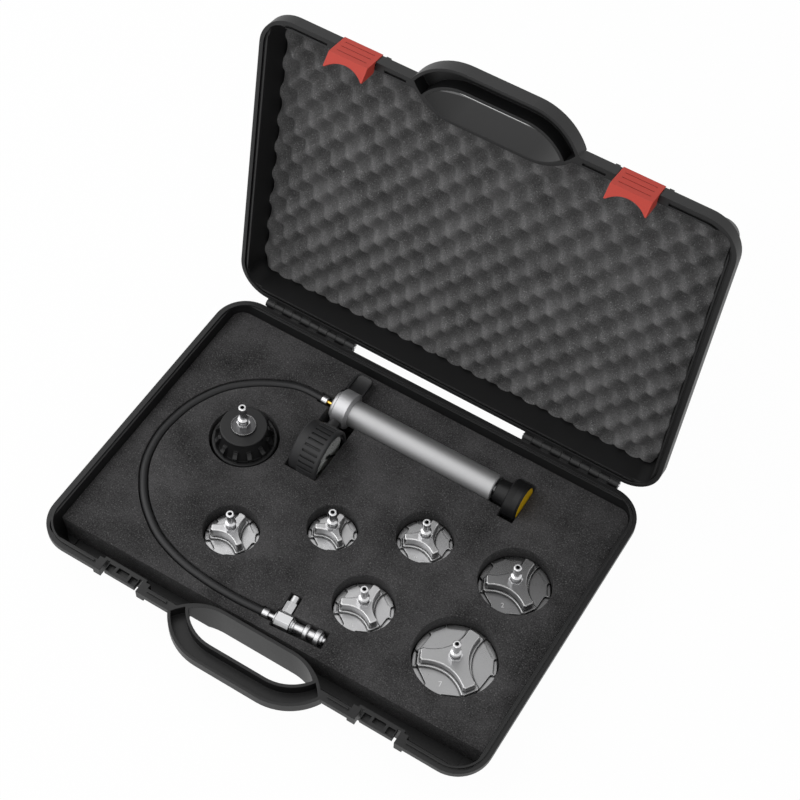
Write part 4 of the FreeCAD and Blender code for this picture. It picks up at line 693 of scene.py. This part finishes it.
# %% [markdown]
# ## Foam
#
# Both foams are the same open-cell polyurethane: dark grey and dull, with bright specks where cut
# cells catch the light. The shared grain gives the soft mottle, the rare peaks of a finer noise
# give the specks, and a Voronoi pattern is the cell-deep bump. The egg-crate sheet gets painted
# shade in its hollows. It carries a value for that, which is nothing on the plain block.

# %% Foam finish
HOLLOW = "hollow"
HOLLOW_PAINTED_SHADE = 0.28
SPECK_STARTS, SPECK_FULL = 0.60, 0.80
CELL_DEPTH = 0.4 * MM


def foam_finish(name, color, tone, speck_color, cells=1500.0, specks=780.0):
    """Dull open-cell foam: mottle, bright specks of cut cell walls, painted shade in hollows, and a
    cell-deep bump.
    """
    material = bpy.data.materials.new(name)
    material.use_nodes = True
    tree = material.node_tree
    shader = tree.nodes["Principled BSDF"]
    shader.inputs["Specular IOR Level"].default_value = 0.15
    shader.inputs["Sheen Weight"].default_value = 0.05
    shader.inputs["Sheen Roughness"].default_value = 0.6
    texture = add_group(tree, SURFACE_GRAIN, Color=(*color, 1), Tone=tone, Roughness=0.92,
                        Roughness_Spread=0.05, Grain_Per_Metre=cells * 0.5, Patch_Per_Metre=25.0)
    place = tree.nodes.new("ShaderNodeTexCoord")
    bright = tree.nodes.new("ShaderNodeTexNoise")
    bright.inputs["Scale"].default_value = specks
    bright.inputs["Detail"].default_value = 1.0
    cells_shape = tree.nodes.new("ShaderNodeTexVoronoi")
    cells_shape.inputs["Scale"].default_value = cells
    for pattern in (bright, cells_shape):
        tree.links.new(place.outputs["Object"], pattern.inputs["Vector"])
    rare = tree.nodes.new("ShaderNodeMapRange")
    rare.inputs["From Min"].default_value = SPECK_STARTS
    rare.inputs["From Max"].default_value = SPECK_FULL
    tree.links.new(bright.outputs["Fac"], rare.inputs["Value"])
    mix = tree.nodes.new("ShaderNodeMix")
    mix.data_type = "RGBA"
    tree.links.new(rare.outputs[0], mix.inputs["Factor"])
    tree.links.new(texture.outputs["Color"], mix.inputs["A"])
    mix.inputs["B"].default_value = (*speck_color, 1)
    # Points deep in a hollow are darkened: painted shade.
    depth = tree.nodes.new("ShaderNodeAttribute")
    depth.attribute_name = HOLLOW
    kept = maths(tree, "MULTIPLY_ADD", depth.outputs["Fac"], -HOLLOW_PAINTED_SHADE, 1.0)
    shade = tree.nodes.new("ShaderNodeVectorMath")
    shade.operation = "SCALE"
    tree.links.new(mix.outputs["Result"], shade.inputs[0])
    tree.links.new(kept, shade.inputs["Scale"])
    relief = tree.nodes.new("ShaderNodeBump")
    relief.inputs["Distance"].default_value = CELL_DEPTH
    relief.inputs["Strength"].default_value = 0.6
    tree.links.new(cells_shape.outputs["Distance"], relief.inputs["Height"])
    tree.links.new(shade.outputs[0], shader.inputs["Base Color"])
    tree.links.new(texture.outputs["Roughness"], shader.inputs["Roughness"])
    tree.links.new(relief.outputs["Normal"], shader.inputs["Normal"])
    return material


block_foam = foam_finish("block_foam", (0.045, 0.044, 0.045), 2.2, (0.15, 0.15, 0.15))
# The egg-crate sheet is the same foam as the block, but its colour is painted nearly three times
# lighter: painted light that makes up for the weaker light on the upright lid.
egg_foam = foam_finish("egg_foam", (0.120, 0.119, 0.120), 1.4, (0.30, 0.30, 0.30))
print("foams:", block_foam.name, egg_foam.name)

# %% [markdown]
# ## The block in the base
#
# The foam block and its cut-outs are in the frame as one plain solid. Its mesh is loose triangles,
# so a copy of it is joined up before anything is done to it. The same helper serves the lid.

# %% Copy a soft solid of the frame
JOIN_WITHIN = 0.01 * MM


def copy_node(node_name, piece_name):
    """A new piece with the node's own shape, its loose triangles joined up."""
    piece = bpy.data.objects.new(piece_name, nodes[node_name].data.copy())
    scene.collection.objects.link(piece)
    bpy.ops.object.select_all(action="DESELECT")
    piece.select_set(True)
    bpy.context.view_layer.objects.active = piece
    bpy.ops.object.mode_set(mode="EDIT")
    bpy.ops.mesh.select_all(action="SELECT")
    bpy.ops.mesh.remove_doubles(threshold=JOIN_WITHIN)
    bpy.ops.object.mode_set(mode="OBJECT")
    return piece


print("points nearer than", JOIN_WITHIN / MM, "mm become one")

# %% [markdown]
# Cut foam has soft edges. The copy's flat faces are cleaned of the lines between triangles, and a
# small bevel rounds every edge that turns by more than a little. The copy then stands for the
# plain solid.

# %% The block
EDGE_SOFT = 0.8 * MM
FLAT_WITHIN = math.radians(0.5)
EDGE_TURNS = math.radians(40)

foam_block = copy_node("base_foam", "foam_block")
bpy.ops.object.mode_set(mode="EDIT")
bpy.ops.mesh.select_all(action="SELECT")
bpy.ops.mesh.dissolve_limited(angle_limit=FLAT_WITHIN)
bpy.ops.object.mode_set(mode="OBJECT")
soften = foam_block.modifiers.new("soften", "BEVEL")
soften.width = EDGE_SOFT
soften.segments = 2
soften.limit_method = "ANGLE"
soften.angle_limit = EDGE_TURNS
bpy.ops.object.modifier_apply(modifier="soften")
foam_block.data.materials.clear()
foam_block.data.materials.append(block_foam)
bpy.ops.object.shade_smooth_by_angle(angle=EDGE_TURNS)
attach(foam_block, "case_base")
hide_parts("base_foam")
print("foam block:", len(foam_block.data.polygons), "faces")

# %% [markdown]
# ## Egg-crate foam in the lid
#
# This foam is made by squeezing a sheet between two toothed rollers and slitting it. What is left
# is a checkerboard of rounded bumps and hollows: one cosine across times one cosine along, with
# its tops rounded a little fuller by a power below one. At the two short sides the foam is pressed
# in between the walls, so the waves get lower there.

# %% The wave
WAVE_X = 28.8 * MM
WAVE_Y = 33.4 * MM
WAVE_PEAK = Vector((-216.4 * MM, 114.4 * MM, 0))
WAVE_HEIGHT = 6.8 * MM
WAVE_POWER = 0.75
SHEET_T = 14.8 * MM
SHEET_HALF = 226 * MM
SIDE_PRESS = 12 * MM
SIDE_KEPT = 0.35
BACK_FACE = max((to_shut @ Vector(corner)).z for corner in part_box("lid_foam"))
MEAN_FACE = BACK_FACE - SHEET_T


def egg_height(x, y):
    """How far the face stands below its mean, at a place on the sheet."""
    a = math.cos(2 * math.pi * (x - WAVE_PEAK.x) / WAVE_X)
    b = math.cos(2 * math.pi * (y - WAVE_PEAK.y) / WAVE_Y)
    inwards = min(max((SHEET_HALF - abs(x)) / SIDE_PRESS, 0.0), 1.0)
    pressed = SIDE_KEPT + (1 - SIDE_KEPT) * inwards * inwards * (3 - 2 * inwards)
    return WAVE_HEIGHT * pressed * math.copysign(abs(a * b) ** WAVE_POWER, a * b)


print("the sheet's mean face is at", round(MEAN_FACE / MM, 2), "mm")

# %% [markdown]
# A fine grid, a little larger than the lid, follows the wave. It is given its thickness by an
# extrude upwards, and the new side is then laid flat.

# %% The wavy sheet
SHEET_W = 466 * MM
SHEET_D = 322 * MM
SHEET_MIDDLE_Y = 3 * MM
SHEET_CELL = 1.75 * MM
SHEET_UP = 60 * MM
SHEET_TOP = MEAN_FACE + 40 * MM

bpy.ops.object.select_all(action="DESELECT")
bpy.ops.mesh.primitive_grid_add(x_subdivisions=round(SHEET_W / SHEET_CELL),
                                y_subdivisions=round(SHEET_D / SHEET_CELL),
                                size=1, location=(0, 0, 0))
egg_sheet = bpy.context.object
egg_sheet.name = "egg_sheet"
for vertex in egg_sheet.data.vertices:
    x, y = vertex.co.x * SHEET_W, vertex.co.y * SHEET_D + SHEET_MIDDLE_Y
    vertex.co = (x, y, MEAN_FACE - egg_height(x, y))
bpy.ops.object.mode_set(mode="EDIT")
bpy.ops.mesh.select_all(action="SELECT")
bpy.ops.mesh.extrude_region_move(TRANSFORM_OT_translate={"value": (0, 0, SHEET_UP)})
bpy.ops.object.mode_set(mode="OBJECT")
for vertex in egg_sheet.data.vertices:
    if vertex.co.z > MEAN_FACE + SHEET_UP / 2:
        vertex.co.z = SHEET_TOP
bpy.ops.object.mode_set(mode="EDIT")
bpy.ops.mesh.select_all(action="SELECT")
bpy.ops.mesh.normals_make_consistent(inside=False)
bpy.ops.object.mode_set(mode="OBJECT")
print("grid:", len(egg_sheet.data.vertices), "points")

# %% [markdown]
# The frame's own foam gives the outline. A copy of it is cut level, and the cut face is extruded
# down past the waves. The lid's walls lean, so the new side is made wider by as much as the walls
# widen over that height, except round the handle's recess, where the edge stands upright.

# %% A block with the lid's outline
BLOCK_CUT = MEAN_FACE + 7 * MM
BLOCK_REACH = 16 * MM
LEAN = BLOCK_REACH / (BACK_FACE - BLOCK_CUT)
SIDE_ZONE = 0.1
HINGE_ZONE = 0.01
LEVEL_WITHIN = 0.2 * MM

outline = copy_node("lid_foam", "outline")
outline.data.transform(to_shut)
bpy.ops.object.mode_set(mode="EDIT")
bpy.ops.mesh.select_all(action="SELECT")
bpy.ops.mesh.bisect(plane_co=(0, 0, BLOCK_CUT), plane_no=(0, 0, 1), use_fill=True,
                    clear_inner=True)
bpy.ops.object.mode_set(mode="OBJECT")


def reach_at(level):
    """The outline's lowest and highest x and y at one level."""
    near = [v.co for v in outline.data.vertices if abs(v.co.z - level) < LEVEL_WITHIN]
    return [(min(co[axis] for co in near), max(co[axis] for co in near)) for axis in (0, 1)]


at_back, at_cut = reach_at(BACK_FACE), reach_at(BLOCK_CUT)
bpy.ops.object.mode_set(mode="EDIT")
bpy.ops.mesh.extrude_region_move(TRANSFORM_OT_translate={"value": (0, 0, -BLOCK_REACH)})
bpy.ops.object.mode_set(mode="OBJECT")
for vertex in outline.data.vertices:
    if vertex.co.z > BLOCK_CUT - MM:
        continue
    shares = [(vertex.co[axis] - low) / (high - low) for axis, (low, high) in enumerate(at_cut)]
    if SIDE_ZONE < shares[0] < 1 - SIDE_ZONE and shares[1] < 1 - HINGE_ZONE:
        continue
    for axis, (low, high) in enumerate(at_cut):
        new_low = low + (low - at_back[axis][0]) * LEAN
        new_high = high + (high - at_back[axis][1]) * LEAN
        vertex.co[axis] = new_low + shares[axis] * (new_high - new_low)
print("outline at its back:", [round((high - low) / MM, 1) for low, high in at_back], "mm")

# %% [markdown]
# A Boolean keeps what the sheet and the outline share. Each point then gets a value that says how
# deep in a hollow it lies, which the foam's finish reads as painted shade, and the sheet is turned
# open.

# %% Trim it to the lid
WAVE_TURNS = math.radians(50)

trim = egg_sheet.modifiers.new("trim", "BOOLEAN")
trim.operation = "INTERSECT"
trim.object = outline
trim.solver = "EXACT"
bpy.ops.object.select_all(action="DESELECT")
egg_sheet.select_set(True)
bpy.context.view_layer.objects.active = egg_sheet
bpy.ops.object.modifier_apply(modifier="trim")
bpy.data.objects.remove(outline)
hollow = egg_sheet.data.attributes.new(HOLLOW, "FLOAT", "POINT")
for vertex, depth in zip(egg_sheet.data.vertices, hollow.data):
    depth.value = min(max(0.5 + (vertex.co.z - MEAN_FACE) / (2 * WAVE_HEIGHT), 0.0), 1.0)
egg_sheet.data.transform(to_open)
egg_sheet.data.materials.clear()
egg_sheet.data.materials.append(egg_foam)
bpy.ops.object.shade_smooth_by_angle(angle=WAVE_TURNS)
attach(egg_sheet, "lid")
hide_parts("lid_foam")
print("egg sheet:", len(egg_sheet.data.polygons), "faces")
